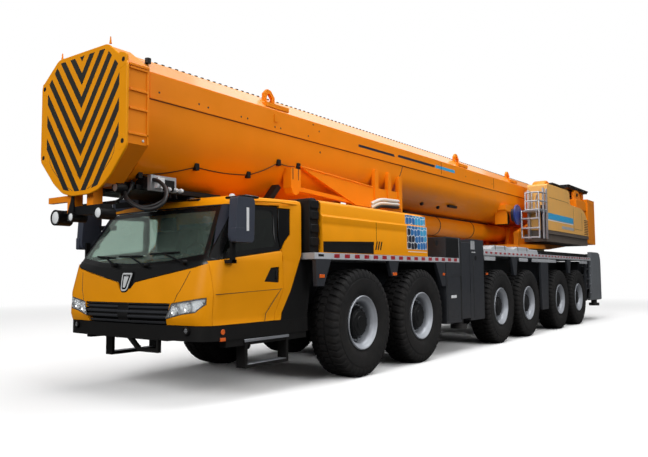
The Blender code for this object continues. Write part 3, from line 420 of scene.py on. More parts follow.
def settled(made, body, bevel=0.0, angle=CREASE, stands_for=()):
    """Puts a piece on its body, with its edges rounded and the nodes it stands for."""
    made.data.set_sharp_from_angle(angle=radians(angle))
    if bevel:
        bevelled(made, bevel, angle)
    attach(made, body)
    if stands_for:
        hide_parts(*stands_for)
    return made


def carved(made, others, operation="DIFFERENCE"):
    """Cuts the other shapes from made, or keeps what they share, and removes them."""
    for other in others:
        step = made.modifiers.new("carve", "BOOLEAN")
        step.operation = operation
        step.object = other
        step.solver = "EXACT"
    bpy.context.view_layer.update()
    graph = bpy.context.evaluated_depsgraph_get()
    mesh = bpy.data.meshes.new_from_object(made.evaluated_get(graph))
    made.modifiers.clear()
    made.data = mesh
    for other in others:
        bpy.data.objects.remove(other, do_unlink=True)
    return made


def dress(name, material, spots=()):
    """Gives a CAD node its finish, and rounds its sharp edges.

    spots are (material, x, y, z): faces whose middle is inside the ranges get that material.
    """
    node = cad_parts[name]
    node.data.materials.clear()
    for finish in (material, *(spot[0] for spot in spots)):
        node.data.materials.append(finish)
    for face in node.data.polygons:
        face.use_smooth = True
        place = face.center - ORIGIN
        for number, (_, *ranges) in enumerate(spots, 1):
            if all(low <= value <= high for value, (low, high) in zip(place, ranges)):
                face.material_index = number
    weld = node.modifiers.new("weld", "WELD")
    weld.merge_threshold = THIN
    flat = node.modifiers.new("flat", "DECIMATE")
    flat.decimate_type = "DISSOLVE"
    flat.delimit = {"MATERIAL"}
    flat.angle_limit = radians(NODE_FLAT)
    bevelled(node, NODE_EDGE, NODE_CREASE)
    smooth = node.modifiers.new("smooth", "WEIGHTED_NORMAL")
    smooth.keep_sharp = False


# ---- wheels ----
TYRE_RADIUS = 0.745
LUGS = 44                   # tread lugs round a tyre
LUG_COLUMNS = (0.03, 0.25, 0.46, 0.66, 0.71, 0.98)     # shares of a lug's pitch
IN_GROOVE = 4               # the columns from this one on lie in the cross groove
GROOVE = 0.017
LUG_SLANT = 2.6
TYRE_ROWS = (               # place across, drawn radius, depth of the cross grooves
    (0.150, 0.338, 0.0), (0.176, 0.372, 0.0), (0.205, 0.425, 0.0), (0.2175, 0.49, 0.0),
    (0.2215, 0.56, 0.0), (0.2215, 0.607, 0.0), (0.2160, 0.612, 0.0), (0.2160, 0.630, 0.0),
    (0.2190, 0.642, 0.9), (0.2120, 0.685, 1.0), (0.2000, 0.722, 1.0), (0.1780, 0.742, 1.0),
    (0.1100, 0.7475, 1.0), (0.0720, 0.7490, 1.0),
)
TYRE_MIDDLE = (             # the same between the two rows of lugs
    (0.066, 0.732, 0), (0.054, 0.732, 0), (0.048, 0.7495, 1), (0.0, 0.75, 1),
    (-0.048, 0.7495, 1), (-0.054, 0.732, 0), (-0.066, 0.732, 0),
)
DRAWN_RADIUS = 0.75
RIM = (
    (0.345, 0.150), (0.372, 0.168), (0.374, 0.196), (0.362, 0.205), (0.350, 0.198),
    (0.338, 0.180), (0.318, 0.165), (0.300, 0.150), (0.288, 0.11), (0.284, 0.06), (0.280, 0.02),
)
RIM_BACK = (
    (0.275, -0.012), (0.33, -0.05), (0.345, -0.150), (0.372, -0.168), (0.374, -0.196),
    (0.360, -0.200), (0.345, -0.188),
)
WHEEL_DISC = (
    (0.29, 0.03), (0.27, 0.045), (0.235, 0.05), (0.215, 0.045), (0.20, 0.05), (0.197, 0.115),
    (0.188, 0.132), (0.160, 0.140), (0.155, 0.147), (0.09, 0.150), (0.085, 0.158), (0.0, 0.160),
)
WHEEL_NUT = ((0.0165, 0.045), (0.0165, 0.068), (0.009, 0.070), (0.009, 0.085), (0.0, 0.086))
HUB_BOLT = ((0.010, 0.130), (0.010, 0.142), (0.0, 0.143))
DISC_BACK = ((0.29, -0.02), (0.24, -0.055), (0.0, -0.058))


def tyre(piece):
    """The carcass with its lugs; the middle band's lugs lie half a pitch further round."""
    inner = [(-x, radius, depth) for x, radius, depth in reversed(TYRE_ROWS)]
    rings = []
    for x, radius, depth in (*TYRE_ROWS, *TYRE_MIDDLE, *inner):
        shift = 0.5 if abs(x) < 0.05 else 0.0
        ring = []
        for lug in range(LUGS):
            for number, share in enumerate(LUG_COLUMNS):
                turn = (lug + share + shift + abs(x) * LUG_SLANT) / LUGS * tau
                cut = GROOVE * depth if number >= IN_GROOVE else 0
                reach = radius * TYRE_RADIUS / DRAWN_RADIUS - cut
                ring.append((x, reach * cos(turn), reach * sin(turn)))
        rings.append(ring)
    piece.rings(rings, caps=False)


def wheel_mesh():
    """One wheel about its own middle, its outside towards +X."""
    piece = Piece("wheel", "", RUBBER, RIM_PAINT, HUB_PAINT, origin=Vector())
    tyre(piece)
    for profile, tone in ((RIM, 1), (RIM_BACK, 2), (WHEEL_DISC, 2)):
        piece.turned("X", (0, 0), profile, tone, 48, caps=False)
    piece.turned("X", (0, 0), DISC_BACK, 2)
    for count, first, radius, profile, tone in (
        (20, 0.0, 0.247, WHEEL_NUT, 1), (12, 0.5, 0.175, HUB_BOLT, 2)
    ):
        for k in range(count):
            a = tau * (k + first) / count
            piece.turned("X", (radius * cos(a), radius * sin(a)), profile, tone, 6)
    shape = piece.shape()
    mesh = shape.data
    mesh.set_sharp_from_angle(angle=radians(CREASE))
    bpy.data.objects.remove(shape, do_unlink=True)
    return mesh


def make_wheels():
    mesh = wheel_mesh()
    for number in range(1, 7):
        for side_name, side in SIDES:
            node = f"wheel_{number}_{side_name}"
            low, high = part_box(node)
            made = placed(f"tyred_{node}", mesh)
            made.location = (low + high) / 2
            made.rotation_euler = (0, 0, 0 if side > 0 else pi)
            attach(made, node)
            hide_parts(node)


# ---- driver's cab ----
CAB_HALF = 1.30
CAB_RINGS = (               # z, front y, back y, inset of the sides in front and behind, corner
    (0.87, -2.86, -1.555, 0.02, 0.02, 0.22),
    (0.95, -2.90, -1.516, 0.04, 0.04, 0.22),
    (1.22, -2.87, -1.385, 0.0, 0.0, 0.24),
    (1.56, -2.78, -1.22, 0.015, 0.0, 0.22),
    (1.66, -2.72, -1.17, 0.04, 0.0, 0.21),
    (2.28, -2.33, -1.17, 0.185, 0.0, 0.13),
    (2.33, -2.27, -1.175, 0.20, 0.012, 0.12),
    (2.35, -2.20, -1.21, 0.23, 0.05, 0.11),
)
CAB_BOW = 0.07
CAB_SKIN, CAB_CREASE = 0.045, 32
CORNER_STEPS = 8
AHEAD = -3.3                # a y in front of the cab
NOSE_BACK, LAMP_BACK, SCREEN_BACK = -2.6, -2.66, -1.95      # ends of cuts from the front
GLASS_TOP = 2.235
DOOR_EDGE = (
    (-2.67, 0.7), (-2.67, 1.60), (-2.19, 2.235), (-1.53, 2.26), (-1.53, 1.25), (-1.74, 0.7),
)
BELT = ((-2.67, 1.567), (-1.53, 1.705), (-1.345, 1.91))     # lower edge of the side glass
HANDLE_RECESS = ((-1.87, 1.332), (-1.75, 1.498), (-1.60, 1.510), (-1.605, 1.318))
VALLEY = (                  # x, z: lower edge of the black panel under the windscreen
    (-1.40, 1.60), (-1.05, 1.50), (-0.16, 1.335), (-0.10, 1.262), (0.10, 1.262), (0.16, 1.335),
    (1.05, 1.50), (1.40, 1.60),
)
VALLEY_PANEL = (
    (-1.30, 1.562), (-1.05, 1.506), (-0.156, 1.341), (-0.096, 1.268), (0.096, 1.268),
    (0.156, 1.341), (1.05, 1.506), (1.30, 1.562), (1.175, 1.607), (0.60, 1.532), (0.0, 1.507),
    (-0.60, 1.532), (-1.175, 1.607),
)
SCREEN_EDGE = (             # x, z
    (-1.155, 1.60), (-0.60, 1.525), (0.0, 1.50), (0.60, 1.525), (1.155, 1.60), (1.00, 2.21),
    (-1.00, 2.21),
)
LAMP_EDGE = (
    (0.715, 0.935), (0.79, 1.105), (1.225, 1.170), (1.222, 1.10), (1.13, 1.015), (0.95, 0.99),
)
GRILLE_EDGE = ((-0.69, 0.80), (-0.775, 1.108), (0.775, 1.108), (0.69, 0.80))
GRILLE_FIELD = ((-0.684, 0.872), (-0.769, 1.103), (0.769, 1.103), (0.684, 0.872))
GRILLE_SPREAD = 0.3         # how much the grille widens for each metre up
SLATS = ((0.872, 0.905), (0.935, 0.968), (0.992, 1.022), (1.046, 1.074), (1.090, 1.102))
BLADES = (                  # ends of a wiper's blade and its pivot, each as x, z
    ((-0.744, 1.655), (-0.343, 1.632), (-0.276, 1.541)),
    ((-0.263, 1.645), (0.171, 1.641), (0.292, 1.532)),
    ((0.289, 1.663), (0.744, 1.674), (0.881, 1.56)),
)
SHIELD = (
    (-0.085, 1.452), (0.085, 1.452), (0.092, 1.42), (0.062, 1.262), (0.035, 1.235),
    (-0.035, 1.235), (-0.062, 1.262), (-0.092, 1.42),
)


def cab_form(inset):
    """The cab's whole form, set in by inset."""
    rings = []
    for z, front, back, front_inset, back_inset, radius in CAB_RINGS:
        x, y = CAB_HALF - front_inset - radius, front + CAB_BOW + radius
        behind = CAB_HALF - back_inset - inset
        turns = [tau / 4 * i / CORNER_STEPS for i in range(CORNER_STEPS + 1)]
        half = [(x + (radius - inset) * cos(a), y - (radius - inset) * sin(a)) for a in turns]
        half += [(x * t, front + inset + CAB_BOW * t * t) for t in (0.8, 0.6, 0.4, 0.2)]
        plan = half + [(0.0, front + inset)] + [(-a, b) for a, b in reversed(half)]
        plan += [(-behind, back - inset), (behind, back - inset)]
        level = min(max(z, CAB_RINGS[0][0] + inset), CAB_RINGS[-1][0] - inset)
        rings.append([(a, b, level) for a, b in plan])
    form = Piece("form", "", ENAMEL)
    form.rings(rings)
    return form.shape()


def slope_y(x, z, low, high):
    """The y at x, z of the front face that runs through two of the cab's rings."""
    part = (z - low[0]) / (high[0] - low[0])
    front, inset, radius = (low[i] + (high[i] - low[i]) * part for i in (1, 3, 5))
    return front + CAB_BOW * min(abs(x) / (CAB_HALF - inset - radius), 1.0) ** 2


def nose_y(x, z):
    """The y of the cab's front face at x, z."""
    pairs = zip(CAB_RINGS, CAB_RINGS[1:])
    return slope_y(x, z, *next(pair for pair in pairs if z <= pair[1][0]))


def screen_y(x, z):
    """The y of the windscreen's face at x, z, carried on below its lower edge."""
    return slope_y(x, z, *CAB_RINGS[4:6])


def solid(axis, outline, low, high):
    """A flat outline made thick, to carve with."""
    form = Piece("solid", "", ENAMEL)
    form.plate(axis, outline, low, high)
    return form.shape()


def belt_cutter(side):
    """Cuts the sloping shoulder under the side glass."""
    cutter = Piece("cutter", "", ENAMEL)
    cutter.side = side
    section = ((1.258, 0.02), (1.33, 0.02), (1.33, -0.095))
    ends = ((-2.64, 1.571), (-1.50, 1.709))
    cutter.rings([[(x, y, z + rise) for x, rise in section] for y, z in ends])
    return cutter.shape()


def through_nose(outline, back=NOSE_BACK):
    """An (x, z) outline as a block through the cab's front."""
    return ("Y", outline, AHEAD, back)


def through_screen(outline):
    return through_nose(outline, SCREEN_BACK)


def through_side(outline, side, inner=0.9):
    """A (y, z) outline as a block through one side of the cab."""
    return ("X", outline, *sorted((inner * side, 1.5 * side)))


def through_cab(outline):
    return ("X", outline, -1.5, 1.5)


def mirrored(outline, side):
    return [(x * side, z) for x, z in outline]


def cab_panel(name, body, material, depth, keep, holes=(), bevel=0.0, stands_for=(), cutters=()):
    """A panel of the cab's skin between two insets, inside the keep outlines."""
    form = carved(cab_form(depth[0]), [cab_form(depth[1])])
    for block in keep:
        form = carved(form, [solid(*block)], "INTERSECT")
    if holes or cutters:
        form = carved(form, [*(solid(*hole) for hole in holes), *cutters])
    form.name = name
    form.data.materials.clear()
    form.data.materials.append(material)
    for face in form.data.polygons:
        face.use_smooth = True
    settled(form, body, bevel, CAB_CREASE, stands_for)


def make_cab_side(side_name, side):
    """One door with its glass, the pane behind it, and the head lamp."""
    door = f"cab_door_{side_name}"
    lower = [(-2.70, 0.7), (-2.70, 1.563), *BELT[:2], (-1.50, 1.71), (-1.50, 0.7)]
    cab_panel(
        f"{door}_skin", door, ENAMEL, (0.0, CAB_SKIN),
        [through_side(DOOR_EDGE, side), through_side(lower, side)],
        [through_side(HANDLE_RECESS, side, 1.28)], 0.007, (door,), [belt_cutter(side)],
    )
    edge = [(-2.66, 1.577), (-1.537, 1.712), (-1.537, 2.253), (-2.195, 2.228)]
    pane = [(-2.50, 1.66), (-1.63, 1.76), (-1.60, 1.79), (-1.60, 2.16), (-1.64, 2.19),
            (-2.13, 2.17), (-2.16, 2.15)]
    cab_panel(
        f"{door}_frame", door, GLOSS_BLACK, (0.018, 0.055), [through_side(edge, side)],
        [through_side(pane, side)], 0.003,
    )
    cab_panel(
        f"{door}_pane", door, SIDE_GLASS if side > 0 else PALE_GLASS, (0.024, 0.030),
        [through_side(offset(pane, 0.01), side)],
    )
    quarter = [(-1.527, 1.722), (-1.352, 1.915), (-1.352, 2.228), (-1.527, 2.228)]
    cab_panel(
        f"rear_pane_{side_name}", "carrier", GLOSS_BLACK if side > 0 else PALE_GLASS,
        (0.010, 0.030), [through_side(quarter, side)], bevel=0.003,
    )
    lamp = mirrored(LAMP_EDGE, side)
    cab_panel(
        f"lamp_back_{side_name}", "carrier", REFLECTOR, (0.050, 0.060),
        [through_nose(lamp, -2.62)], bevel=0.002,
    )
    cab_panel(
        f"lamp_cover_{side_name}", "carrier", LAMP_GLASS, (0.003, 0.008),
        [through_nose(lamp, LAMP_BACK)],
    )
    cab_panel(
        f"lamp_rim_{side_name}", "carrier", GLOSS_BLACK, (0.004, 0.055),
        [through_nose(lamp, LAMP_BACK)],
        [through_nose(mirrored(offset(LAMP_EDGE, -0.012), side))],
    )


def make_grille():
    field = through_nose(GRILLE_FIELD)
    cab_panel("grille_back", "carrier", BLACK_MOULDING, (0.035, 0.06), [field], bevel=0.003)
    for number, (low, high) in enumerate(SLATS):
        ends = [(0.70 + (z - SLATS[0][0]) * GRILLE_SPREAD, z) for z in (high, low)]
        bar = [(-x, z) for x, z in reversed(ends)] + ends
        cab_panel(
            f"grille_slat_{number}", "carrier", GRILLE_BAR, (0.006 + 0.004 * (number % 2), 0.05),
            [through_nose(bar), field], bevel=0.006,
        )
    block = [(-0.09, 0.88), (-0.10, 1.085), (0.10, 1.085), (0.09, 0.88)]
    cab_panel(
        "grille_block", "carrier", BLACK_MOULDING, (0.008, 0.05), [through_nose(block)],
        bevel=0.008,
    )


def make_cab_skin():
    windows = [
        (AHEAD, 1.50), *BELT, (-1.345, GLASS_TOP), (-2.19, GLASS_TOP), (AHEAD, GLASS_TOP),
    ]
    holes = [
        through_cab(windows),
        through_nose([*VALLEY, (1.40, 1.8), (-1.40, 1.8)]),
        through_nose(GRILLE_EDGE),
        *(through_side(offset(DOOR_EDGE, 0.004), side) for _, side in SIDES),
        *(through_nose(mirrored(offset(LAMP_EDGE, 0.004), side), LAMP_BACK) for _, side in SIDES),
    ]
    cab_panel("cab_body", "carrier", ENAMEL, (0.0, CAB_SKIN), [], holes, 0.006, ("cab_shell",))

    top = GLASS_TOP - 0.003
    pillar = [
        (AHEAD, 1.50), (-2.67, 1.567), (-2.665, 1.60), (-2.20, 2.225), (-2.16, top), (AHEAD, top),
    ]
    between = [*VALLEY, (1.2, 1.60), (0.99, 2.22), (-0.99, 2.22), (-1.2, 1.60)]
    cab_panel(
        "pillars", "carrier", PILLAR_BLACK, (0.004, 0.04), [through_cab(pillar)],
        [through_screen(offset(SCREEN_EDGE, 0.01)), through_screen(between)], 0.006,
    )
    cab_panel(
        "valley_panel", "carrier", GLOSS_BLACK, (0.008, 0.035),
        [through_nose(VALLEY_PANEL, -2.55)], bevel=0.004,
    )
    cab_panel(
        "screen_pane", "carrier", SCREEN_GLASS, (0.012, 0.020), [through_screen(SCREEN_EDGE)],
        stands_for=("windscreen",),
    )
    cab_panel(
        "screen_border", "carrier", GLOSS_BLACK, (0.0115, 0.0205),
        [through_screen(offset(SCREEN_EDGE, -0.001))],
        [through_screen(offset(SCREEN_EDGE, -0.055))],
    )
    for side_name, side in SIDES:
        make_cab_side(side_name, side)
    make_grille()


def make_door_fittings(side_name, side):
    """Mirror, handle, painted shade lines along the door's creases, rain channel and corner cap of
    one side.
    """
    door = f"cab_door_{side_name}"
    mirror = Piece(f"mirror_{side_name}", door, SLATE_MOULDING, FILM_WHITE, BLACK_MOULDING, CHROME)
    mirror.side = side
    shell = [(-2.535, 1.83), (-2.505, 2.275), (-2.25, 2.275), (-2.225, 2.24), (-2.24, 1.80),
             (-2.27, 1.772), (-2.50, 1.772)]
    mirror.plate("X", shell, 1.348, 1.468, corner=0.035)
    lower = [(-2.54, 1.772), (-2.54, 1.93), (-2.27, 1.93), (-2.255, 1.80), (-2.29, 1.772)]
    mirror.plate("X", lower, 1.40, 1.4695, corner=0.02)
    for x, y, z, tone in (
        ((1.466, 1.4712), (-2.365, -2.325), (1.900, 2.160), 1),
        ((1.36, 1.456), (-2.224, -2.2215), (1.86, 2.22), 3),
        ((1.13, 1.35), (-2.262, -2.142), (2.035, 2.098), 2),
        ((1.321, 1.358), (-2.478, -2.422), (1.542, 1.86), 2),
        ((1.251, 1.358), (-2.518, -2.402), (1.543, 1.583), 2),
    ):
        mirror.box(x, y, z, tone)
    mirror.done(0.012)
    handle = Piece(f"door_handle_{side_name}", door, GLOSS_BLACK, HUB_PAINT, BLACK_MOULDING)
    handle.side = side
    handle.plate("X", offset(HANDLE_RECESS, -0.002), 1.262, 1.285, 1)
    grip = [(-1.665, 1.36), (-1.645, 1.475), (-1.622, 1.475), (-1.632, 1.36)]
    handle.plate("X", grip, 1.28, 1.298)
    handle.done(0.004)
    # thin black lines along the door's creases are painted shade
    crease_shade = Piece(f"door_crease_shade_{side_name}", door, CHEVRON_BLACK)
    crease_shade.side = side
    crease_shade.line(1.2975, ((-2.66, 1.204), (-1.545, 1.243)), 0.004)
    crease_shade.line(1.2975, ((-1.87, 0.86), (-1.85, 0.96), (-1.575, 1.235)), 0.004)
    crease_shade.done()
    channel = Piece(f"rain_channel_{side_name}", "carrier", ENAMEL)
    channel.side = side
    gutter = (
        (1.128, -2.14, 2.292), (1.165, -1.9, 2.297), (1.276, -1.60, 2.30), (1.276, -1.22, 2.295),
    )
    channel.tube(gutter, 0.012, 0, 8)
    channel.done()
    cap = Piece(f"corner_cap_{side_name}", door, GLOSS_BLACK)
    cap.side = side
    cap.box((1.10, 1.42), (-2.33, -2.10), (2.283, 2.312))
    cap.done(0.01)


def make_roof():
    domes = Piece("roof_domes", "carrier", FILM_WHITE)
    dome = ((0.036, 2.28), (0.036, 2.34), (0.028, 2.36), (0.0, 2.368))
    for x in (1.05, -0.93):
        domes.turned("Z", (x, -2.16), dome, 0, 16)
    domes.done()
    unit = Piece("roof_unit", "carrier", SLATE_MOULDING, BLACK_MOULDING)
    for x, y, z, tone in (
        ((-0.35, 0.40), (-2.22, -1.85), (2.29, 2.365), 0),
        ((-0.30, 0.35), (-2.225, -2.21), (2.31, 2.36), 1),
        ((-1.05, -0.50), (-2.28, -1.92), (2.27, 2.43), 0),
        ((-0.98, -0.57), (-2.285, -2.27), (2.31, 2.39), 1),
        ((-0.55, 0.62), (-2.28, -2.24), (2.27, 2.33), 1),
    ):
        unit.box(x, y, z, tone)
    unit.done(0.012)


def make_wipers():
    wipers = Piece("wipers", "carrier", BLACK_MOULDING)
    for start, end, pivot in BLADES:
        wipers.tube([(x, screen_y(x, z) - 0.012, z) for x, z in (start, end)], 0.012)
        across = (start[0] + end[0]) / 2
        middle = (across, screen_y(across, start[1]) - 0.024, (start[1] + end[1]) / 2)
        foot = screen_y(*pivot) - 0.03
        wipers.tube([(pivot[0], foot, pivot[1]), middle], 0.010)
        cap = [(0.0, foot + 0.05), (0.03, foot + 0.05), (0.024, foot - 0.01), (0.0, foot - 0.012)]
        wipers.turned("Y", pivot, cap, 0, 14)
    wipers.done()


def make_nose_fittings():
    # the shield's chrome rings are drawn pale: a painted reflection
    badge = Piece("blank_badge", "carrier", REFLECTOR, GLOSS_BLACK)
    for grow, lift, corner, tone in (
        (0.012, 0.006, 0.02, 1), (-0.004, 0.012, 0.015, 0), (-0.022, 0.014, 0.010, 1),
        (-0.045, 0.016, 0.008, 0),
    ):
        edge = rounded(offset(SHIELD, grow), corner)
        front = [(x, nose_y(0, z) - lift, z) for x, z in edge]
        badge.rings([front, [(x, y + 0.05, z) for x, y, z in front]], tone)
    badge.done(0.003)

    lamps = Piece("lamp_units", "carrier", CHROME, LAMP_LENS, BLACK_MOULDING, AMBER)
    for lamps.side in BOTH:
        for x, z, radius, y in (
            (0.83, 1.03, 0.058, -2.83), (1.0, 1.065, 0.058, -2.80), (1.145, 1.09, 0.045, -2.74)
        ):
            bowl = [(radius, y + 0.03), (radius, y), (radius * 0.8, y + 0.012), (0.0, y + 0.02)]
            lens = [(radius * 0.55, y + 0.02), (radius * 0.45, y - 0.008), (0.0, y - 0.014)]
            lamps.turned("Y", (x, z), bowl, 0, 20)
            lamps.turned("Y", (x, z), lens, 1, 16)
        fog = [(0.0, -2.78), (0.045, -2.78), (0.048, -2.826), (0.036, -2.832), (0.030, -2.822),
               (0.0, -2.822)]
        lamps.turned("Y", (1.0, 0.815), fog, 2, 20)
        lamps.turned("Y", (1.0, 0.815), [(0.028, -2.823), (0.016, -2.828), (0.0, -2.830)], 0, 16)
    lamps.done()

    seams = Piece("nose_seams", "carrier", CHEVRON_BLACK)
    line = ((0.99, 1.462), (0.93, 1.32), (0.895, 1.24), (0.865, 1.20), (0.83, 1.12))
    for seams.side in BOTH:
        seams.tube([(x, nose_y(x, z), z) for x, z in line], 0.0035)
    seams.done()

    low = Piece("side_markers", "carrier", AMBER, ALUMINIUM, CHROME)
    for low.side in BOTH:
        low.disc("X", (-2.538, 0.795), 0.03, 1.270, 1.2865, 0, 16)
        low.box((1.270, 1.2865), (-2.578, -2.498), (0.695, 0.733))
        low.box((1.145, 1.283), (-2.19, -1.40), (0.655, 0.6865), 1)
        low.box((1.150, 1.2785), (-2.17, -1.42), (0.397, 0.405), 1)
    low.done(0.002)


def make_seats():
    inside = Piece("cab_seats", "carrier", SEAT_CLOTH, BLACK_MOULDING, TRIM_GREY)
    for x in (-0.55, 0.55):
        for outline, corner, half in (
            ([(-2.20, 1.27), (-2.22, 1.40), (-1.80, 1.43), (-1.77, 1.30)], 0.04, 0.23),
            ([(-1.86, 1.40), (-1.74, 2.02), (-1.68, 2.02), (-1.72, 1.36)], 0.03, 0.22),
            ([(-1.78, 2.02), (-1.76, 2.20), (-1.70, 2.20), (-1.69, 2.02)], 0.02, 0.12),
        ):
            inside.plate("X", outline, x - half, x + half, corner=corner)
    wheel = Vector((0.55, -2.33, 1.60))
    across, up = Vector((1, 0, 0)), Vector((0, 0.42, 0.907))
    turns = [tau * k / 24 for k in range(25)]
    ring = [wheel + (across * cos(a) + up * sin(a)) * 0.215 for a in turns]
    inside.tube(ring, 0.016, 1, 8)
    for k in (2, 10, 18):
        inside.tube([wheel, ring[k]], 0.014, 1)
    inside.tube([wheel, (0.55, -2.52, 1.42)], 0.035, 1, 10)
    inside.box((-0.9, 0.9), (-1.24, -1.225), (1.4, 2.15), 2)
    inside.done(0.01)


def make_cab_fittings():
    for side_name, side in SIDES:
        make_door_fittings(side_name, side)
    make_roof()
    make_wipers()
    make_nose_fittings()
    make_seats()


# ---- boom and its head ----
HEAD_FACE = -3.47
CHEVRON_PITCH = 0.267       # between the tips of two chevrons, straight up
CHEVRON_TIP = 2.475         # height of one chevron's tip
CHEVRON_HALF, CHEVRON_SLOPE = 0.9, 1.42
BOOM_FRONT, BOOM_BACK = -3.088, 10.40
BOOM_HALF, BOOM_TOP, BOOM_WAIST = 0.68, 3.885, 3.185
BELLY_DEPTH, FRONT_BELLY_DEPTH = 0.50, 0.765
CHAMFER = (0.26, 0.22)      # across and down
BELLY_STEPS = 24
FOOT = (12.3, 3.30)         # y, z of the boom's pivot
RACK_TEETH, RACK_PITCH = 126, 0.105
CABLE_STEPS, CABLE_SAG = 6, 0.02        # between two clips
BOLTS = (                   # y, z on the boom's side
    (-2.95, 3.455), (-2.35, 3.45), (-2.2, 3.44), (-1.62, 3.44), (-1.50, 3.44), (-0.95, 3.43),
    (-0.83, 3.43), (-0.2, 3.43), (-0.08, 3.62), (0.07, 3.545), (5.4, 3.5), (6.1, 3.5), (6.9, 3.5),
)
CLIPS = ((-2.975, 2.552), (-2.26, 2.717), (-1.35, 2.729), (-0.845, 2.95), (-0.41, 2.957))
HOOK = (                    # y behind the hook's front, z
    (-0.02, 3.74), (-0.02, 3.93), (0.05, 3.998), (0.12, 3.985), (0.20, 3.90), (0.20, 3.74),
    (0.15, 3.74), (0.15, 3.88), (0.09, 3.94), (0.05, 3.93), (0.03, 3.88), (0.03, 3.74),
)
SUPPORT_PLATE = (
    (-0.67, 2.90), (-0.45, 2.90), (-0.45, 2.62), (-0.475, 2.61), (-0.50, 2.55), (-0.565, 2.522),
    (-0.63, 2.55), (-0.655, 2.61), (-0.67, 2.62),
)
FRONT_CORD = (              # x, z of the line beside the head's lower edge
    (0.606, 2.814), (0.598, 2.724), (0.549, 2.653), (0.447, 2.56), (0.364, 2.489),
    (0.237, 2.409), (0.139, 2.364),
)
HEAD_HOSES = (              # radius, points
    (0.022, ((0.24, -3.05, 2.465), (0.34, -3.14, 2.36), (0.52, -3.20, 2.22), (0.74, -3.16, 2.125),
             (0.90, -3.08, 2.17), (0.86, -2.98, 2.32), (0.66, -2.92, 2.46), (0.37, -2.90, 2.53))),
    (0.018, ((0.14, -3.04, 2.44), (0.28, -3.12, 2.33), (0.48, -3.15, 2.21), (0.68, -3.10, 2.16),
             (0.84, -3.02, 2.22), (0.80, -2.92, 2.34), (0.62, -2.85, 2.45), (0.35, -2.82, 2.52))),
    (0.016, ((-0.10, -3.05, 2.43), (-0.12, -3.14, 2.33), (-0.02, -3.20, 2.24), (0.18, -3.20, 2.22),
             (0.34, -3.16, 2.28), (0.38, -3.09, 2.38), (0.31, -3.02, 2.49))),
)


def head_outline(grow):
    half = ((0.80, 2.76), (0.52, 2.47), (0.34, 2.345), (0.16, 2.305))
    outline = [(-0.80, 2.76), (-0.80, 3.66), (-0.46, 3.92), (0.46, 3.92), (0.80, 3.66), *half]
    return offset(outline + [(-x, z) for x, z in reversed(half[1:])], grow)


def make_head():
    cover = Piece("head_plate", "boom_tip", ENAMEL)
    cover.plate("Y", head_outline(-0.001), HEAD_FACE + 0.001, HEAD_FACE + 0.03, corner=0.05)
    cover.done(0.008, stands_for=("head_cover",))
    framed = [(max(-0.67, min(0.67, x)), z) for x, z in head_outline(-0.05)]
    field = solid("Y", rounded(framed, 0.03), HEAD_FACE - 0.0005, HEAD_FACE + 0.002)
    marks = Piece("chevrons", "boom_tip", CHEVRON_BLACK)
    for number in range(-2, 8):
        tip = CHEVRON_TIP + number * CHEVRON_PITCH
        edge = [(-CHEVRON_HALF, CHEVRON_HALF * CHEVRON_SLOPE), (0.0, 0.0),
                (CHEVRON_HALF, CHEVRON_HALF * CHEVRON_SLOPE)]
        stripe = [(x, tip + z) for x, z in edge]
        stripe += [(x, z + CHEVRON_PITCH / 2) for x, z in reversed(stripe)]
        marks.plate("Y", stripe, HEAD_FACE - 0.0008, HEAD_FACE + 0.0015)
    settled(carved(marks.shape(), [field], "INTERSECT"), "boom_tip")
    lugs = Piece("plate_lugs", "boom_tip", ENAMEL, HUB_PAINT)
    front = HEAD_FACE - 0.0015
    hole = [(0.0, front), (0.028, front), (0.028, front + 0.0045)]
    for lugs.side, heights in ((1, (3.69, 2.82)), (-1, (3.62, 2.80))):
        for z in heights:
            tab = [(0.665, z - 0.10), (0.78, z - 0.06), (0.78, z + 0.06), (0.665, z + 0.10)]
            lugs.plate("Y", tab, HEAD_FACE - 0.001, HEAD_FACE + 0.034, corner=0.02)
            lugs.turned("Y", (0.735, z), hole, 1, 20)
    lugs.done(0.004)


def boom_ring(y, half, depth, top=BOOM_TOP):
    """The boom's section at y: flat top, chamfers, straight sides and a round belly."""
    across, down = CHAMFER
    ring = [(half, BOOM_WAIST), (half, top - down), (half - across, top)]
    ring += [(-x, z) for x, z in reversed(ring)]
    for step in range(1, BELLY_STEPS):
        turn = pi * step / BELLY_STEPS
        ring.append((-half * cos(turn), BOOM_WAIST - depth * sin(turn)))
    return [(x, y, z) for x, z in ring]


def belly_x(z, depth=FRONT_BELLY_DEPTH):
    """Half the belly's width at a height."""
    return BOOM_HALF * (1 - min((BOOM_WAIST - z) / depth, 1.0) ** 2) ** 0.5


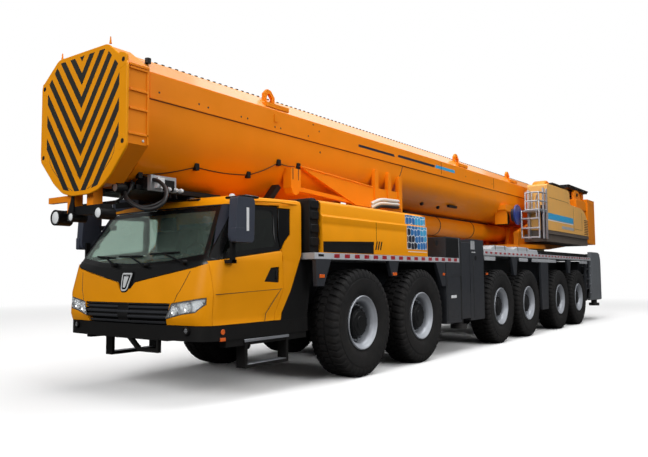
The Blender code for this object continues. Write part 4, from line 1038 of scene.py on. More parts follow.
def make_boom_shell():
    shell = Piece("boom_shell", "boom", SHADED_ENAMEL, HIGHLIT_ENAMEL)
    shell.rings([boom_ring(y, BOOM_HALF, BELLY_DEPTH) for y in (BOOM_FRONT, BOOM_BACK)])
    across, down = CHAMFER
    slope = [(BOOM_HALF, BOOM_TOP - down), (BOOM_HALF - across, BOOM_TOP)]
    slope += [(x - 0.002, z - 0.002) for x, z in reversed(slope)]
    slope = [(x + 0.0008, z + 0.0008) for x, z in slope]
    eye = [(2.15, 3.05), (2.95, 3.05), (2.95, 2.60), *arc((2.50, 2.455), 0.18, -10, -170, 7),
           (2.15, 2.60)]
    for shell.side in BOTH:
        # the top slopes: real gloss, and a painted highlight in their paler colour
        shell.plate("Y", slope, BOOM_FRONT + 0.003, BOOM_BACK - 0.003, 1)
        shell.plate("X", eye, 0.156, 0.245)
    shell.rings([
        boom_ring(y, BOOM_HALF - 0.001, depth, 3.80)
        for y, depth in (
            (BOOM_FRONT + 0.002, FRONT_BELLY_DEPTH), (0.3, FRONT_BELLY_DEPTH),
            (1.6, BELLY_DEPTH - 0.01),
        )
    ])
    shell.plate("X", [(10.32, 2.885), (10.32, 3.865), *arc(FOOT, 0.33, 80, -80, 10)], -0.5, 0.5)
    shell.disc("X", FOOT, 0.30, -0.719, 0.719)
    shell.done(0.008, 30, ("boom_base",))


def make_boom_plates():
    parts = Piece("boom_plates", "boom", SHADED_ENAMEL, CHEVRON_BLACK, HUB_PAINT, SHADE_BROWN)
    cradle = [(-0.42, 2.955), (1.55, 2.86), (2.56, 2.86), (2.56, 2.52), (1.05, 2.52), (0.86, 2.57)]
    for parts.side in BOTH:
        for x, y, z, tone in (
            ((0.6795, 0.688), (-3.08, 10.35), (3.392, 3.652), 0),
            ((0.6795, 0.696), (-3.08, 10.35), (3.366, 3.392), 0),
            # painted shadow under the ledge: a thin dark brown strip
            ((0.6795, 0.6805), (-3.08, 10.35), (3.354, 3.366), 3),
            ((0.7395, 0.7412), (-0.635, -0.62), (2.74, 2.90), 1),
            ((0.7395, 0.7412), (-0.51, -0.495), (2.74, 2.90), 1),
            ((0.685, 0.70), (-0.97, -0.90), (3.50, 3.60), 0),
            ((0.50, 0.56), (4.83, 5.21), (2.80, 2.85), 2),
        ):
            parts.box(x, y, z, tone)
        for y, top in ((1.64, 3.17), (2.07, 3.17), (2.44, 3.14)):
            half = [(-0.055, 2.56), (-0.055, top - 0.05), (-0.03, top)]
            rib = [(y + a, z) for a, z in half] + [(y - a, z) for a, z in reversed(half)]
            parts.plate("X", rib, 0.66, 0.728)
        for outline, low, high, tone in (
            (cradle, 0.640, 0.700, 0),
            (SUPPORT_PLATE, 0.60, 0.740, 0),
            ([(-0.44, 2.60), (-0.44, 2.66), (1.0, 2.60), (1.0, 2.54)], 0.60, 0.68, 0),
            ([(-0.98, 2.47), (-0.90, 2.45), (-0.74, 2.62), (-0.80, 2.66)], 0.50, 0.62, 2),
        ):
            parts.plate("X", outline, low, high, tone)
        parts.line(0.702, ((-0.40, 2.955), (1.55, 2.862)), 0.012, 0, 8)
        for centre in BOLTS:
            parts.disc("X", centre, 0.013, 0.6885, 0.6900, 1, 10)
        parts.disc("X", (0.10, 3.235), 0.016, 0.680, 0.6825, 1, 10)
        parts.line(0.6825, ((2.63, 3.36), (2.56, 3.24), (2.505, 3.16)), 0.006, 1)
        for y in (4.2, 7.0, 9.6):
            parts.line(0.690, ((y, 3.40), (y, 3.64)), 0.0035, 1)
        parts.line(0.25, ((-3.08, 3.895), (10.3, 3.895)), 0.010, 2)
    for y in (-0.95, 5.25, 8.35):
        parts.plate("X", [(y + a, z) for a, z in HOOK], 0.465, 0.515)
        parts.box((0.48, 0.66), (y - 0.14, y + 0.34), (3.70, 3.76))
    shade = [(7.45, 2.94), (7.45, 3.06), (8.0, 3.06), (8.0, 2.94), (7.93, 2.90), (7.52, 2.90)]
    parts.plate("X", shade, 0.5, 0.80)
    parts.box((0.5, 0.78), (7.52, 7.60), (2.60, 2.95))
    drum = [(0.0, 0.5), (0.15, 0.5), (0.15, 0.74), (0.0, 0.745)]
    parts.turned("X", (7.72, 2.74), drum, 2, 20)
    for number in range(RACK_TEETH):
        y = -2.9 + number * RACK_PITCH
        parts.box((0.395, 0.425), (y, y + 0.035), (3.884, 3.897), 1)
    parts.done(0.004)


def make_boom():
    make_boom_shell()
    make_boom_plates()
    films = Piece("boom_stripe", "boom", FILM_DARK, FILM_SKY)
    for films.side in BOTH:
        for outline, tone in (
            ([(1.15, 3.485), (1.15, 3.525), (2.30, 3.525), (2.33, 3.485)], 0),
            ([(2.44, 3.50), (2.47, 3.545), (3.92, 3.545), (3.89, 3.50)], 0),
            ([(3.93, 3.50), (3.96, 3.56), (4.84, 3.56), (4.84, 3.50)], 1),
        ):
            films.plate("X", outline, 0.6875, 0.6890, tone)
    films.done()

    line = Piece("boom_cable", "boom", HUB_PAINT)
    path = []
    for (y0, z0), (y1, z1) in zip(CLIPS, CLIPS[1:]):
        for t in (step / CABLE_STEPS for step in range(CABLE_STEPS)):
            z = z0 + (z1 - z0) * t - CABLE_SAG * sin(pi * t)
            path.append((belly_x(z) + 0.007, y0 + (y1 - y0) * t, z))
    for line.side in BOTH:
        line.tube(path, 0.006)
        for y, z in CLIPS:
            x = belly_x(z)
            line.box((x - 0.02, x + 0.035), (y - 0.03, y + 0.03), (z - 0.04, z + 0.045))
        for y, z in ((2.95, 2.80), (3.80, 2.80), (4.55, 2.79)):
            x = belly_x(z, BELLY_DEPTH)
            line.disc("X", (y, z), 0.045, x - 0.01, x + 0.03, 0, 14)
    line.done(0.003)

    wrapped = Piece("wrapped_hoses", "boom", WRAP, HOSE)
    hose = ((0.70, 1.50, 2.58), (0.745, 1.72, 2.66), (0.745, 2.1, 2.68), (0.70, 2.42, 2.70))
    for drop, tone in ((0.0, 0), (0.06, 0), (0.11, 1)):
        wrapped.tube(swept([(x, y, z - drop) for x, y, z in hose], 6), 0.028, tone, 10)
    wrapped.done()


def make_head_fittings():
    collar = Piece("collar_ribs", "boom_tip", SHADED_ENAMEL, HUB_PAINT, WRAP)
    cap = [(0.0, 0.779), (0.016, 0.779), (0.012, 0.789), (0.0, 0.79)]
    for collar.side in BOTH:
        for middle in (3.61, 3.375, 3.175):
            collar.box((0.778, 0.797), (-3.425, -3.19), (middle - 0.012, middle + 0.012))
        collar.box((0.778, 0.795), (-3.435, -3.175), (2.895, 2.92))
        collar.box((0.778, 0.795), (-3.20, -3.172), (2.805, 3.66))
        collar.box((0.778, 0.800), (-3.43, -3.175), (3.63, 3.658))
        collar.turned("X", (-3.24, 2.845), cap, 2, 12)
    pin = [(0.016, 3.915), (0.011, 3.94), (0.006, 3.994), (0.0, 3.996)]
    for x in (0.484, -0.418):
        collar.turned("Z", (x, -3.45), pin, 0, 10)
    knob = [(0.0, 3.80), (0.035, 3.80), (0.035, 3.86), (0.0, 3.868)]
    collar.turned("Z", (0.55, -3.0), knob, 1, 12)
    collar.done(0.004)

    trace = Piece("cover_marks", "boom_tip", CHEVRON_BLACK, HUB_PAINT)
    for trace.side in BOTH:
        trace.tube([(x, HEAD_FACE + 0.0025, z) for x, z in FRONT_CORD], 0.0035)
    for x in (-0.05, 0.055):
        for z in (3.66, 2.515):
            screw = [(x, HEAD_FACE + depth, z + up)
                     for depth, up in ((0.005, 0.0), (0.003, 0.012), (0.005, 0.03))]
            trace.tube(screw, 0.0035, 1)
    trace.done()

    light = Piece("work_lamps", "boom_tip", HUB_PAINT, LAMP_LENS)
    for x, z, radius in ((-0.54, 2.09, 0.088), (-0.235, 2.08, 0.054), (0.27, 2.10, 0.068)):
        body = [(0.0, -3.24), (radius * 0.7, -3.245), (radius, -3.32), (radius + 0.004, -3.430),
                (radius * 0.86, -3.432), (radius * 0.82, -3.4215), (0.0, -3.4215)]
        lens = [(radius * 0.82, -3.4220), (radius * 0.55, -3.430), (0.0, -3.434)]
        light.turned("Y", (x, z), body, 0, 24)
        light.turned("Y", (x, z), lens, 1, 20)
    small = [(0.0, -3.10), (0.035, -3.11), (0.055, -3.17), (0.055, -3.265), (0.046, -3.267),
             (0.044, -3.258), (0.0, -3.258)]
    light.turned("Y", (0.34, 2.385), small, 0, 20)
    light.turned("Y", (0.34, 2.385), [(0.044, -3.259), (0.03, -3.264), (0.0, -3.266)], 1, 16)
    light.box((0.31, 0.37), (-3.20, -3.16), (2.42, 2.52))
    light.box((-0.34, 0.30), (-3.22, -3.17), (2.215, 2.25))
    light.done(0.003)

    valves = Piece("valve_plate", "boom", FRAME_PAINT, DECK_PAINT, HUB_PAINT, FILM_WHITE)
    for x, y, z, tone in (
        ((0.28, 0.52), (-2.94, -2.60), (2.395, 2.52), 0),
        ((0.50, 0.56), (-2.95, -2.58), (2.37, 2.545), 1),
        ((0.55, 0.62), (-2.90, -2.80), (2.395, 2.515), 3),
        ((0.55, 0.60), (-2.78, -2.64), (2.38, 2.50), 2),
        # the wide dark tray and its lip under the boom stand for black fittings there, and also
        # paint the shade of the gap between boom and cab roof
        ((-0.45, 0.40), (-3.02, -1.70), (2.385, 2.44), 2),
        ((-0.40, 0.36), (-3.06, -3.01), (2.39, 2.47), 2),
    ):
        valves.box(x, y, z, tone)
    knob = [(0.0, 0.55), (0.024, 0.56), (0.028, 0.60), (0.018, 0.625), (0.0, 0.63)]
    for y in (-2.72, -2.62, -2.54):
        valves.turned("X", (y, 2.395), knob, 3, 14)
    for y in (-2.74, -2.66, -2.57):
        valves.tube([(0.53, y, 2.38), (0.53, y + 0.02, 2.31), (0.46, y + 0.05, 2.36)], 0.012, 2, 8)
    valves.done(0.006)


def make_head_hoses():
    for number, (radius, points) in enumerate(HEAD_HOSES, 1):
        path = swept(points, 5)
        piece = Piece(f"head_hose_{number}", "boom", HOSE)
        piece.tube(path, radius, 0, 10)
        piece.done()


# ---- hood, air intake ----
CELL = 0.105                # width of a pebble-like cell of the hood's film
CELL_GAP = 0.006            # half the gap between two cells
CELL_SHIFT, CELL_CORNER = 0.28, 0.18    # shares of a cell's width
HOOD_FOOT, HOOD_TOP = 1.69, 2.375
HOOD_SIDE = (               # x, z from the foot up
    (1.455, 1.6935), (1.455, 2.035), (1.448, 2.05), (1.452, 2.085), (1.455, 2.10),
    (1.455, 2.165), (1.43, 2.185), (1.425, 2.20), (1.425, 2.33), (1.405, 2.36), (1.37, 2.375),
)
HOOD_RINGS = (              # y, how much the hood has shrunk there
    (-0.915, 0.0), (1.935, 0.0), (1.995, 0.012), (2.055, 0.035), (2.105, 0.075), (2.135, 0.13),
)


def cells(low, high, seed):
    """Uneven pebble-like cells that fill a panel from low to high: their outlines."""
    columns, rows = (round((b - a) / CELL) for a, b in zip(low, high))
    points = []
    for i in range(-1, columns + 1):
        for j in range(-1, rows + 1):
            turn = sin(i * 12.9 + j * 78.2 + seed) * 43.7
            shift = (turn - int(turn)) * CELL_SHIFT
            across = low[0] + (i + 0.5 + 0.5 * (j % 2) + shift) * CELL
            points.append((across, low[1] + (j + 0.5 - shift) * CELL))
    found = []
    for centre in points:
        outline = oblong(*zip(low, high))
        for other in points:
            away = [b - a for a, b in zip(centre, other)]
            length = (away[0] ** 2 + away[1] ** 2) ** 0.5
            if other == centre or abs(away[0]) + abs(away[1]) > 4 * CELL:
                continue
            limit = sum((a + b) / 2 * c for a, b, c in zip(centre, other, away)) / length - CELL_GAP
            kept = []
            for a, b in zip(outline, outline[1:] + outline[:1]):
                da, db = ((p[0] * away[0] + p[1] * away[1]) / length - limit for p in (a, b))
                if da <= 0:
                    kept.append(a)
                if da * db < 0:
                    t = da / (da - db)
                    kept.append((a[0] + (b[0] - a[0]) * t, a[1] + (b[1] - a[1]) * t))
            outline = kept
            if len(outline) < 3:
                break
        else:
            found.append(rounded(outline, CELL * CELL_CORNER, 2))
    return found


def make_hood_marks():
    marks = Piece(
        "hood_films", "carrier", FILM_BLUE, FILM_SKY, FILM_DARK, BLACK_MOULDING, FILM_WHITE
    )
    skin = (1.4525, 1.4551)
    wedge = [(-0.905, 1.83), (0.34, 1.83), (0.34, 1.878), (-0.905, 1.838)]
    for marks.side in BOTH:
        marks.box(skin, (-0.905, 0.33), (1.70, 1.835), 3)
        marks.plate("X", wedge, *skin, 3)
        for y in (0.37, 0.435, 0.50):
            slash = [(y, 1.76), (y + 0.04, 1.885), (y + 0.075, 1.885), (y + 0.035, 1.76)]
            marks.plate("X", slash, *skin, 3)
        marks.line(1.4555, ((0.405, 1.89), (0.405, 2.16)), 0.003, 3)
        for level, low, high in ((1.4555, 1.80, 2.172), (1.4255, 2.192, 2.345)):
            marks.box((level - 0.001, level + 0.001), (1.325, 2.0), (low, high), 4)
            for outline in cells((1.33, low + 0.004), (1.995, high - 0.004), low):
                middle = sum(y + z for y, z in outline) / len(outline)
                tone = 2 if middle < 3.50 else 0 if middle < 3.85 else 1
                marks.plate("X", outline, level + 0.0005, level + 0.0031, tone)
        marks.box(skin, (1.36, 2.0), (1.758, 1.768), 4)
    marks.done()


def make_hood():
    hood = Piece("hood", "carrier", ENAMEL)
    rings = []
    for y, shrink in HOOD_RINGS:
        half = [
            (x - shrink * 0.55, y, z - shrink * ((z - HOOD_FOOT) / (HOOD_TOP - HOOD_FOOT)) ** 2)
            for x, z in HOOD_SIDE
        ]
        rings.append(half + [(-a, b, c) for a, b, c in reversed(half)])
    hood.rings(rings)
    hood.done(0.006, stands_for=("engine_hood",))
    make_hood_marks()

    intake = Piece("intake", "carrier", BLACK_MOULDING)
    edge = [(-1.12, 1.692), (-1.12, 2.36), (-1.09, 2.39), (-0.99, 2.39), (-0.945, 2.33),
            (-0.935, 2.2), (-0.932, 1.692)]
    intake.plate("X", edge, 1.0, 1.40, corner=0.03)
    for z in (1.83, 2.0, 2.17, 2.31):
        mesh = oblong((-1.11, -0.945), (z - 0.055, z + 0.055))
        intake.plate("X", mesh, 1.38, 1.419, corner=0.02)
    intake.done(0.012, stands_for=("air_intake",))


# ---- superstructure ----
HOUSING_EDGE = (            # y, z
    (8.60, 2.48), (8.60, 3.60), (8.64, 3.635), (10.42, 3.64), (10.54, 3.58), (10.58, 3.30),
    (10.66, 3.26), (11.65, 3.245), (12.05, 3.17), (12.30, 2.98), (12.42, 2.75), (12.475, 2.48),
)
ROPE_TURNS, ROPE_PITCH = 52, 0.0304


def make_housing(side_name, side):
    body = Piece(
        f"housing_{side_name}", "superstructure",
        HOUSING_ENAMEL, BAND_BROWN, FILM_SKY, FILM_WHITE, DECK_PAINT, SHADED_ENAMEL,
    )
    body.side = side
    body.plate("X", HOUSING_EDGE, 0.952, 1.446, corner=0.03)
    band = [(8.62, 2.3855), (8.62, 2.475), (12.46, 2.475), (12.475, 2.3855)]
    body.plate("X", band, 0.96, 1.44, 1)
    drum = [(0.0, 1.02), (0.30, 1.02), (0.32, 1.05), (0.32, 1.31), (0.30, 1.34), (0.0, 1.34)]
    body.turned("X", (8.97, 3.44), drum, 5, 28)
    for y, z, tone in (
        ((8.61, 10.86), (2.745, 2.905), 2), ((8.61, 10.86), (2.715, 2.735), 3),
        ((9.76, 10.87), (2.56, 2.635), 4),
    ):
        body.box((1.445, 1.4475), y, z, tone)
    body.done(0.015, stands_for=(f"machine_housing_{side_name}",))

    trim = Piece(
        f"housing_trim_{side_name}", "superstructure",
        HUB_PAINT, CHEVRON_BLACK, HOUSING_ENAMEL, CAST_STEEL, SHADE_BROWN,
    )
    trim.side = side
    for number in range(9):
        z = 2.57 + number * 0.05
        # louvres drawn flat: the dark brown bands between the slats are painted shade
        trim.box((1.4455, 1.4495), (11.99, 12.40), (z - 0.06, z - 0.035), 4)
        trim.box((1.446, 1.4495), (11.98, 12.41), (z - 0.034, z - 0.016), 2)
    for points in (
        ((8.72, 3.30), (10.38, 3.30), (10.40, 3.27)), ((10.90, 2.55), (10.90, 3.18)),
        ((11.0, 2.62), (11.75, 2.62), (11.75, 3.12)),
    ):
        trim.line(1.4465, points, 0.004, 1)
    trim.box((0.96, 1.42), (9.15, 10.35), (3.69, 3.72), 3)
    for y in (9.2, 10.25):
        trim.box((1.0, 1.38), (y, y + 0.06), (3.635, 3.695), 3)
    for y in (11.0, 11.66, 12.33, 13.0):
        trim.box((1.0, 1.32), (y, y + 0.045), (3.845, 3.885))
    for x in (1.0, 1.10, 1.20, 1.30):
        trim.box((x, x + 0.03), (11.0, 13.045), (3.85, 3.88))
    trim.done(0.003)

    arm = Piece(f"derrick_arm_{side_name}", "superstructure", SHADED_ENAMEL, HUB_PAINT)
    arm.side = side
    arm.box((0.93, 1.36), (11.55, 12.64), (3.24, 3.52))
    cheek = [(11.60, 3.50), (11.60, 3.72), (11.70, 3.79), (12.05, 3.79), (12.25, 3.62),
             (12.30, 3.50)]
    for low, high in ((1.02, 1.12), (1.22, 1.30)):
        arm.plate("X", cheek, low, high)
    arm.disc("X", (11.85, 3.66), 0.05, 1.0, 1.33, 1, 16)
    arm.done(0.012)


def make_housings():
    for side_name, side in SIDES:
        make_housing(side_name, side)
    rope = Piece("winch_rope", "winch_drum", ALUMINIUM)
    profile = [(0.0, -0.795), (0.2005, -0.795)]
    for number in range(ROPE_TURNS):
        x = -0.79 + number * ROPE_PITCH
        profile += [(0.203, x), (0.214, x + 0.008), (0.214, x + 0.022)]
    profile += [(0.2005, 0.796), (0.0, 0.796)]
    rope.turned("X", (13.12, 2.86), profile, 0, 28)
    rope.done()


def make_platform():
    rail = Piece("platform_rails", "superstructure", ALUMINIUM, HUB_PAINT)
    outer, inner, front = 1.425, 1.10, 7.96
    bars = [
        (((x, y, low), (x, y, high)), 0.021)
        for x, y, low, high in (
            (outer, front, 2.25, 3.36), (1.0, front, 2.25, 2.92), (inner, front, 2.92, 3.36),
            (inner, 8.45, 2.93, 3.44),
        )
    ]
    for z in (2.94, 3.15, 3.36):
        for end in ((outer, 8.56, z + 0.02), (inner, front, z)):
            bars.append((((outer, front, z), end), 0.019))
    bars.append((((1.36, 7.99, 2.72), (1.34, 8.02, 3.10), (1.37, 8.0, 3.30)), 0.016))
    for path, radius in bars:
        rail.tube(path, radius, 0, 10)
    for z in (2.255, 2.48, 2.71):
        rail.box((1.0, outer), (7.91, 8.02), (z, z + 0.034))
    rail.box((0.975, 1.44), (7.98, 8.595), (2.905, 2.935))
    for y in (8.28, 8.53):
        rail.box((1.405, 1.447), (y, y + 0.06), (2.252, 3.495))
    rail.box((1.28, 1.40), (8.545, 8.595), (2.26, 3.10), 1)
    rail.box((0.975, 1.03), (8.46, 8.597), (2.26, 3.48))
    rail.done(0.004, stands_for=("access_platform",))


def make_operator_cab():
    glass = Piece(
        "operator_glazing", "superstructure", SIDE_GLASS, BLACK_MOULDING, CHEVRON_BLACK, DECK_PAINT
    )
    for axis, outline, low, high, tone, corner in (
        ("Y", oblong((-1.41, -0.83), (2.84, 3.80)), 5.953, 5.959, 0, 0.04),
        ("X", [(6.05, 2.90), (7.45, 2.90), (7.45, 3.76), (6.22, 3.76)], -0.7595, -0.7555, 1, 0.05),
        ("X", [(6.08, 2.93), (7.42, 2.93), (7.42, 3.73), (6.25, 3.73)], -0.7560, -0.7535, 0, 0.05),
        ("Z", oblong((-1.38, -0.86), (6.10, 7.20)), 3.8995, 3.9035, 1, 0.05),
        ("X", [(6.02, 2.95), (6.66, 2.95), (6.66, 3.78), (6.20, 3.78)], -1.4785, -1.4745, 1, 0.04),
    ):
        glass.plate(axis, outline, low, high, tone, corner)
    glass.tube([(-1.33, 5.945, 2.90), (-1.08, 5.94, 3.42)], 0.009, 1)
    glass.box((-1.16, -1.00), (5.938, 5.952), (3.41, 3.43), 1)
    for z in (2.55, 2.70):
        glass.line(-1.475, ((5.99, z), (6.70, z)), 0.004, 2)
    glass.tube([(-1.44, 5.935, 2.62), (-0.80, 5.935, 2.62)], 0.014, 3, 8)
    glass.done(0.002)

    door = Piece("operator_door_trim", "operator_door", BLACK_MOULDING, SIDE_GLASS)
    low, high = (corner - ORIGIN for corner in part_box("operator_door"))
    for inset, near, far, tone, corner in (
        (0.07, -0.0005, 0.004, 0, 0.05), (0.10, -0.0012, 0.003, 1, 0.04)
    ):
        pane = oblong((low.y + inset, high.y - inset), (2.95 + inset, high.z - 0.02 - inset))
        door.plate("X", pane, low.x + near, low.x + far, tone, corner)
    door.box((low.x - 0.0015, low.x + 0.01), (low.y + 0.09, low.y + 0.22), (2.90, 2.93))
    door.done(0.001)


def make_turntable_trim():
    """Bolts and covers of the boom's pivot, and the seams and lamps at the tail."""
    trim = Piece("turntable_trim", "superstructure", SHADED_ENAMEL, CAST_STEEL, HUB_PAINT, RED_LENS)
    bolt = [(0.0, 0.835), (0.02, 0.835), (0.02, 0.858), (0.0, 0.86)]
    cap = [(0.0, 0.835), (0.17, 0.835), (0.16, 0.862), (0.0, 0.87)]
    rivet = [(0.0, 13.418), (0.022, 13.418), (0.022, 13.432), (0.0, 13.434)]
    face = (1.3995, 1.404)
    for trim.side in BOTH:
        for centre in arc(FOOT, 0.24, -70, 182, 9):
            trim.turned("X", centre, bolt, 1, 6)
        trim.turned("X", FOOT, cap, 2, 28)
        for z in (2.42, 3.46):
            trim.box(face, (12.66, 13.38), (z, z + 0.02))
        for y in (12.66, 13.36):
            trim.box(face, (y, y + 0.02), (2.42, 3.48))
        trim.box((1.02, 1.30), (13.418, 13.428), (3.30, 3.38), 3)
        for z in (2.5, 2.9, 3.3):
            trim.turned("Y", (1.15, z), rivet, 1, 8)
    trim.done(0.002)


def make_barrel_fittings():
    fit = Piece("barrel_fittings", "luffing_barrel", SHADED_ENAMEL, CAST_STEEL, CHEVRON_BLACK)
    clamp = ((0.205, 0.0), (0.2165, 0.005), (0.2165, 0.075), (0.205, 0.08))
    strap = ((0.2, 0.0), (0.2145, 0.0), (0.2145, 0.03), (0.2, 0.03))
    for profile, tone, places in ((clamp, 0, (3.36, 3.47)), (strap, 2, (5.1, 6.9))):
        for y in places:
            ring = [(radius, y + along) for radius, along in profile]
            fit.turned("Y", (0, 2.455), ring, tone, 40, caps=False)
    fit.line(0.10, ((3.75, 2.648), (8.0, 2.648)), 0.016, 1, 8)
    fit.box((0.06, 0.14), (3.65, 3.78), (2.63, 2.668), 1)
    fit.done(0.002)


# ---- rear deck and lockers ----
HUMP = (                    # y, z of the covers on the rear deck
    (5.0, 1.86), (5.04, 1.93), (5.20, 1.985), (5.9, 1.995), (6.05, 1.95), (6.35, 1.95),
    (6.55, 1.995), (7.30, 1.995), (7.42, 1.96), (7.98, 1.96), (8.0, 1.86),
)


def make_rear():
    """Fittings of the rear deck, the lockers and the rear ladder."""
    plates = Piece("fender_plates", "carrier", DECK_PAINT)
    for plates.side in BOTH:
        for y in ((4.37, 4.94), (6.33, 6.90), (7.18, 9.02), (11.21, 12.03)):
            plates.box((1.472, 1.4815), y, (1.665, 1.742))
    plates.done(0.003)

    locker = Piece("locker_marks", "carrier", CHEVRON_BLACK, FILM_WHITE, DECK_PAINT, HUB_PAINT)
    face = (1.4795, 1.4825)
    for locker.side in BOTH:
        for points in (
            ((2.70, 0.60), (2.70, 1.37), (3.24, 1.37), (3.24, 0.60)), ((3.26, 0.60), (3.26, 2.03)),
            ((3.83, 0.60), (3.83, 2.03)),
        ):
            locker.line(1.4805, points, 0.0045)
        for x, y, z, tone in (
            (face, (2.84, 3.06), (0.985, 1.035), 1),
            (face, (3.72, 3.90), (1.86, 2.02), 2),
            (face, (3.76, 3.93), (1.80, 1.815), 1),
            ((1.4802, 1.4812), (2.66, 3.19), (1.69, 2.03), 3),
            (face, (3.19, 3.20), (1.60, 2.04), 2),
        ):
            locker.box(x, y, z, tone)
        for centre, radius in (((3.94, 1.70), 0.045), ((2.30, 1.93), 0.05)):
            locker.disc("X", centre, radius, 1.4795, 1.4830, 3, 18)
        for y, z in ((2.86, 0.66), (3.0, 0.64), (3.12, 0.66), (3.05, 0.80)):
            locker.box(face, (y, y + 0.03), (z, z + 0.012))
    locker.done(0.001)

    rungs = Piece("rear_rungs", "carrier", ALUMINIUM)
    for rungs.side in BOTH:
        for z in (0.83, 1.08, 1.34, 1.60):
            rungs.tube([(1.20, 12.47, z), (1.46, 12.47, z)], 0.014, 0, 8)
    rungs.done()

    tail = Piece("tail_units", "carrier", BLACK_MOULDING, RED_LENS, AMBER)
    for tail.side in BOTH:
        tail.box((0.36, 0.78), (12.445, 12.455), (1.30, 1.40))
        for x, tone in (((0.38, 0.52), 1), ((0.53, 0.62), 2), ((0.63, 0.76), 1)):
            tail.box(x, (12.452, 12.459), (1.315, 1.385), tone)
    tail.done(0.002)

    markers = Piece("hanger_markers", "carrier", AMBER, RED_LENS)
    for markers.side in BOTH:
        for y, z in (
            ((-1.03, -0.92), 1.37), ((0.82, 0.94), 1.39), ((2.52, 2.60), 1.38), ((4.43, 4.52), 1.38)
        ):
            markers.box((1.479, 1.4875), y, (z, z + 0.045))
        markers.box((0.95, 1.30), (13.592, 13.608), (1.30, 1.42), 1)
    markers.done(0.003)

    bundle = Piece("deck_bundle", "carrier", DECK_PAINT, HUB_PAINT)
    for bundle.side in BOTH:
        bundle.plate("X", HUMP, 1.10, 1.355)
        for y in (5.25, 5.8, 6.6, 7.2):
            bundle.box((1.09, 1.362), (y, y + 0.04), (1.86, 1.9985), 1)
    bundle.done(0.02)


def make_deck_edges():
    """Marking tape along the deck's left edge, in the slot of the deck's paint."""
    strip = Piece("front_strip", "carrier", DECK_PAINT, TAPE_RED, TAPE_WHITE, BLACK_MOULDING)
    base, face = (1.476, 1.4815), (1.480, 1.4825)
    strip.box(base, (-1.125, 2.44), (1.612, 1.686), 2)
    strip.box((1.481, 1.4835), (2.43, 3.19), (1.612, 1.686), 2)
    strip.box(face, (-1.05, -0.93), (1.640, 1.672), 3)
    for number in range(16):
        y = -0.70 + number * 0.245
        strip.box(face if y < 2.3 else (1.480, 1.4850), (y, y + 0.125), (1.628, 1.680), 1)
    strip.done(0.002)
    rear = Piece("rear_strip", "carrier", DECK_PAINT, TAPE_RED, TAPE_WHITE)
    rear.box(base, (4.36, 12.42), (1.79, 1.848), 2)
    for number in range(32):
        y = 4.42 + number * 0.25
        rear.box(face, (y, y + 0.115), (1.80, 1.838), 1)
    rear.done(0.002)


# ---- light, floor and camera ----
FLOOR_REACH = 120
FLOOR_FADE = (9.0, 26.0)    # the floor turns white between these distances
SKY_POWER = 0.42
SKY_RAMP = ((0.0, (0.12, 0.12, 0.125, 1)), (0.8, (1.0, 1.0, 1.0, 1)))
LAMPS = (                   # name, place, aim, size, watts
    ("overhead", (3, 0, 15), (0, 0, 2), 14, 2500),
    ("front", (2, -22, 9), (0, -4, 2), 8, 1550),
    ("side", (18, -6, 9), (0, 0, 2), 9, 1050),
    ("back", (-8, 22, 20), (0, -4, 3), 16, 700),
)
CAMERA_TURN, CAMERA_PITCH, CAMERA_ROLL = 35.868, 4.077, -0.447      # degrees
CAMERA_PLACE = Vector((6.363, -7.676, 1.407))
FOCAL_LENGTH = 36.18


def seen_straight(tree, other, seen):
    """One shader for what is seen directly or through glass, another for all other rays."""
    rays = add(tree, "LightPath").outputs
    straight = {0: rays["Is Camera Ray"], 1: rays["Is Transmission Ray"]}
    share = add(tree, "Math", straight, operation="MAXIMUM").outputs[0]
    return add(tree, "MixShader", {0: share, 1: other.outputs[0], 2: seen.outputs[0]}).outputs[0]


def floor_finish():
    """Matt pale studio floor that fades into the white backdrop away from the truck."""
    made, tree, output = new_material("studio_floor")
    place = add(tree, "TexCoord").outputs["Object"]
    reach = add(tree, "VectorMath", {0: place}, operation="LENGTH").outputs["Value"]
    pale = add(tree, "BsdfDiffuse", {"Color": linear("#F4F4F4"), "Roughness": 1.0})
    white = add(tree, "Emission", {"Color": (1, 1, 1, 1), "Strength": 1.0})
    dim = add(tree, "BsdfDiffuse", {"Color": linear("#6A6A6A"), "Roughness": 1.0})
    fade = spread(tree, reach, *FLOOR_FADE, 0.0, 1.0)
    lit = add(tree, "MixShader", {0: fade, 1: pale.outputs[0], 2: white.outputs[0]})
    tree.links.new(seen_straight(tree, dim, lit), output.inputs[0])
    return made


def make_stage():
    floor = bpy.data.meshes.new("floor")
    edge = oblong((-FLOOR_REACH, FLOOR_REACH), (-FLOOR_REACH, FLOOR_REACH))
    floor.from_pydata([(x, y, 0) for x, y in edge], [], [(0, 1, 2, 3)])
    floor.materials.append(floor_finish())
    placed("floor", floor)

    world = bpy.data.worlds.new("studio")
    bpy.context.scene.world = world
    world.use_nodes = True
    tree = world.node_tree
    tree.nodes.clear()
    height = add(tree, "SeparateXYZ", {0: add(tree, "TexCoord").outputs["Generated"]}).outputs[2]
    sky = add(tree, "ValToRGB", {0: height})
    for stop, (place, colour) in zip(sky.color_ramp.elements, SKY_RAMP):
        stop.position, stop.color = place, colour
    soft = add(tree, "Background", {"Color": sky.outputs[0], "Strength": SKY_POWER})
    plain = add(tree, "Background", {"Color": (1, 1, 1, 1), "Strength": 1.0})
    output = add(tree, "OutputWorld", {0: seen_straight(tree, soft, plain)})
    output.is_active_output = True

    for name, place, aim, size, power in LAMPS:
        lamp = bpy.data.lights.new(name, "AREA")
        lamp.size = size
        lamp.energy = power
        holder = placed(name, lamp)
        holder.location = place
        holder.rotation_euler = (Vector(aim) - Vector(place)).to_track_quat("-Z", "Y").to_euler()


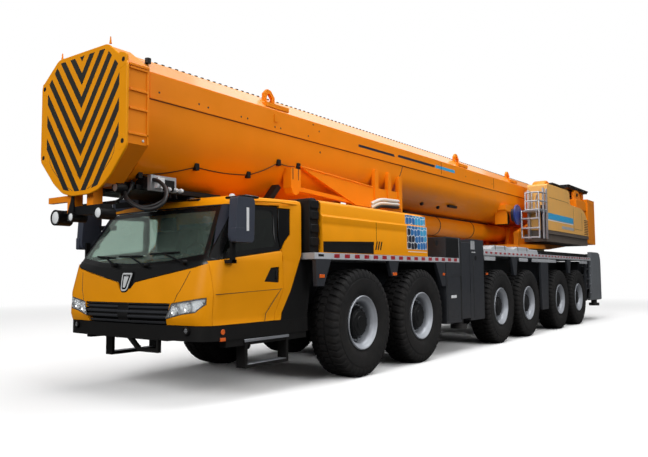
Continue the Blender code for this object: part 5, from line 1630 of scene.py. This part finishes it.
def place_camera():
    turn, pitch, roll = (radians(angle) for angle in (CAMERA_TURN, CAMERA_PITCH, CAMERA_ROLL))
    ahead = Vector((-sin(turn) * cos(pitch), cos(turn) * cos(pitch), sin(pitch)))
    level = Vector((cos(turn), sin(turn), 0))
    up = level.cross(ahead)
    right = level * cos(roll) + up * sin(roll)
    top = up * cos(roll) - level * sin(roll)
    lens = bpy.data.cameras.new("camera")
    lens.sensor_width = 36
    lens.lens = FOCAL_LENGTH
    lens.clip_end = 200
    camera = placed("camera", lens)
    facing = Matrix((right, top, -ahead)).transposed().to_4x4()
    camera.matrix_world = Matrix.Translation(CAMERA_PLACE + ORIGIN) @ facing
    bpy.context.scene.camera = camera


# ---- finishes of the CAD nodes ----
FINISHES = {
    "access_platform": ALUMINIUM, "air_intake": BLACK_MOULDING, "axle_train": CAST_STEEL,
    "boom_base": SHADED_ENAMEL, "boom_middle": SHADED_ENAMEL, "boom_tip": SHADED_ENAMEL,
    "bumper": BLACK_MOULDING, "cab_door_left": ENAMEL, "cab_door_right": ENAMEL,
    "cab_interior": SEAT_CLOTH, "cab_shell": ENAMEL, "cable_reel": REEL_BLUE,
    "engine_block": CAST_STEEL, "engine_hood": ENAMEL, "front_deck": DECK_PAINT,
    "head_cover": ENAMEL, "luffing_barrel": SHADED_ENAMEL, "luffing_rod": CHROME,
    "machine_housing_left": HOUSING_ENAMEL, "machine_housing_right": HOUSING_ENAMEL,
    "operator_cab": SHADED_ENAMEL, "operator_door": SHADED_ENAMEL, "rear_deck": DECK_PAINT,
    "slewing_ring": RING_GEAR, "turntable": SHADED_ENAMEL, "winch_drum": CAST_STEEL,
    "windscreen": SCREEN_GLASS,
}
ALL = (-99, 99)
SPOTS = {                   # material, x, y and z of the faces that get it
    "front_deck": ((FRAME_PAINT, ALL, ALL, (0, 1.606)),),
    "rear_deck": (
        (FRAME_PAINT, ALL, ALL, (0, 1.759)), (BLACK_MOULDING, ALL, (8.05, 99), (1.853, 3)),
    ),
    "boom_tip": ((HUB_PAINT, (-0.7, 0.7), (-3.425, -3.235), (1.9, 2.262)),),
    "cable_reel": ((FILM_DARK, (0.7, 0.904), ALL, ALL),),
    "turntable": (
        (HUB_PAINT, ALL, (10.99, 13.06), (3.79, 3.86)),
        (BAND_BROWN, (0.86, 2), (8.55, 12.49), (2.2, 2.386)),
        (BAND_BROWN, (-2, -0.86), (8.55, 12.49), (2.2, 2.386)),
    ),
    "outrigger_rear_left": ((SLATE_COVER, ALL, (12.0, 99), ALL),),
    "outrigger_rear_right": ((SLATE_COVER, ALL, (12.0, 99), ALL),),
}


def dress_nodes():
    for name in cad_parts:
        if not name.startswith("wheel_"):
            plain = CAST_STEEL if name.startswith(("jack", "knuckle")) else FRAME_PAINT
            dress(name, FINISHES.get(name, plain), SPOTS.get(name, ()))


make_wheels()
make_cab_skin()
make_cab_fittings()
make_head()
make_boom()
make_head_fittings()
make_head_hoses()
make_hood()
make_housings()
make_platform()
make_deck_edges()
make_operator_cab()
make_turntable_trim()
make_barrel_fittings()
make_rear()
dress_nodes()
place_camera()
make_stage()
bpy.context.scene.view_settings.view_transform = "Standard"
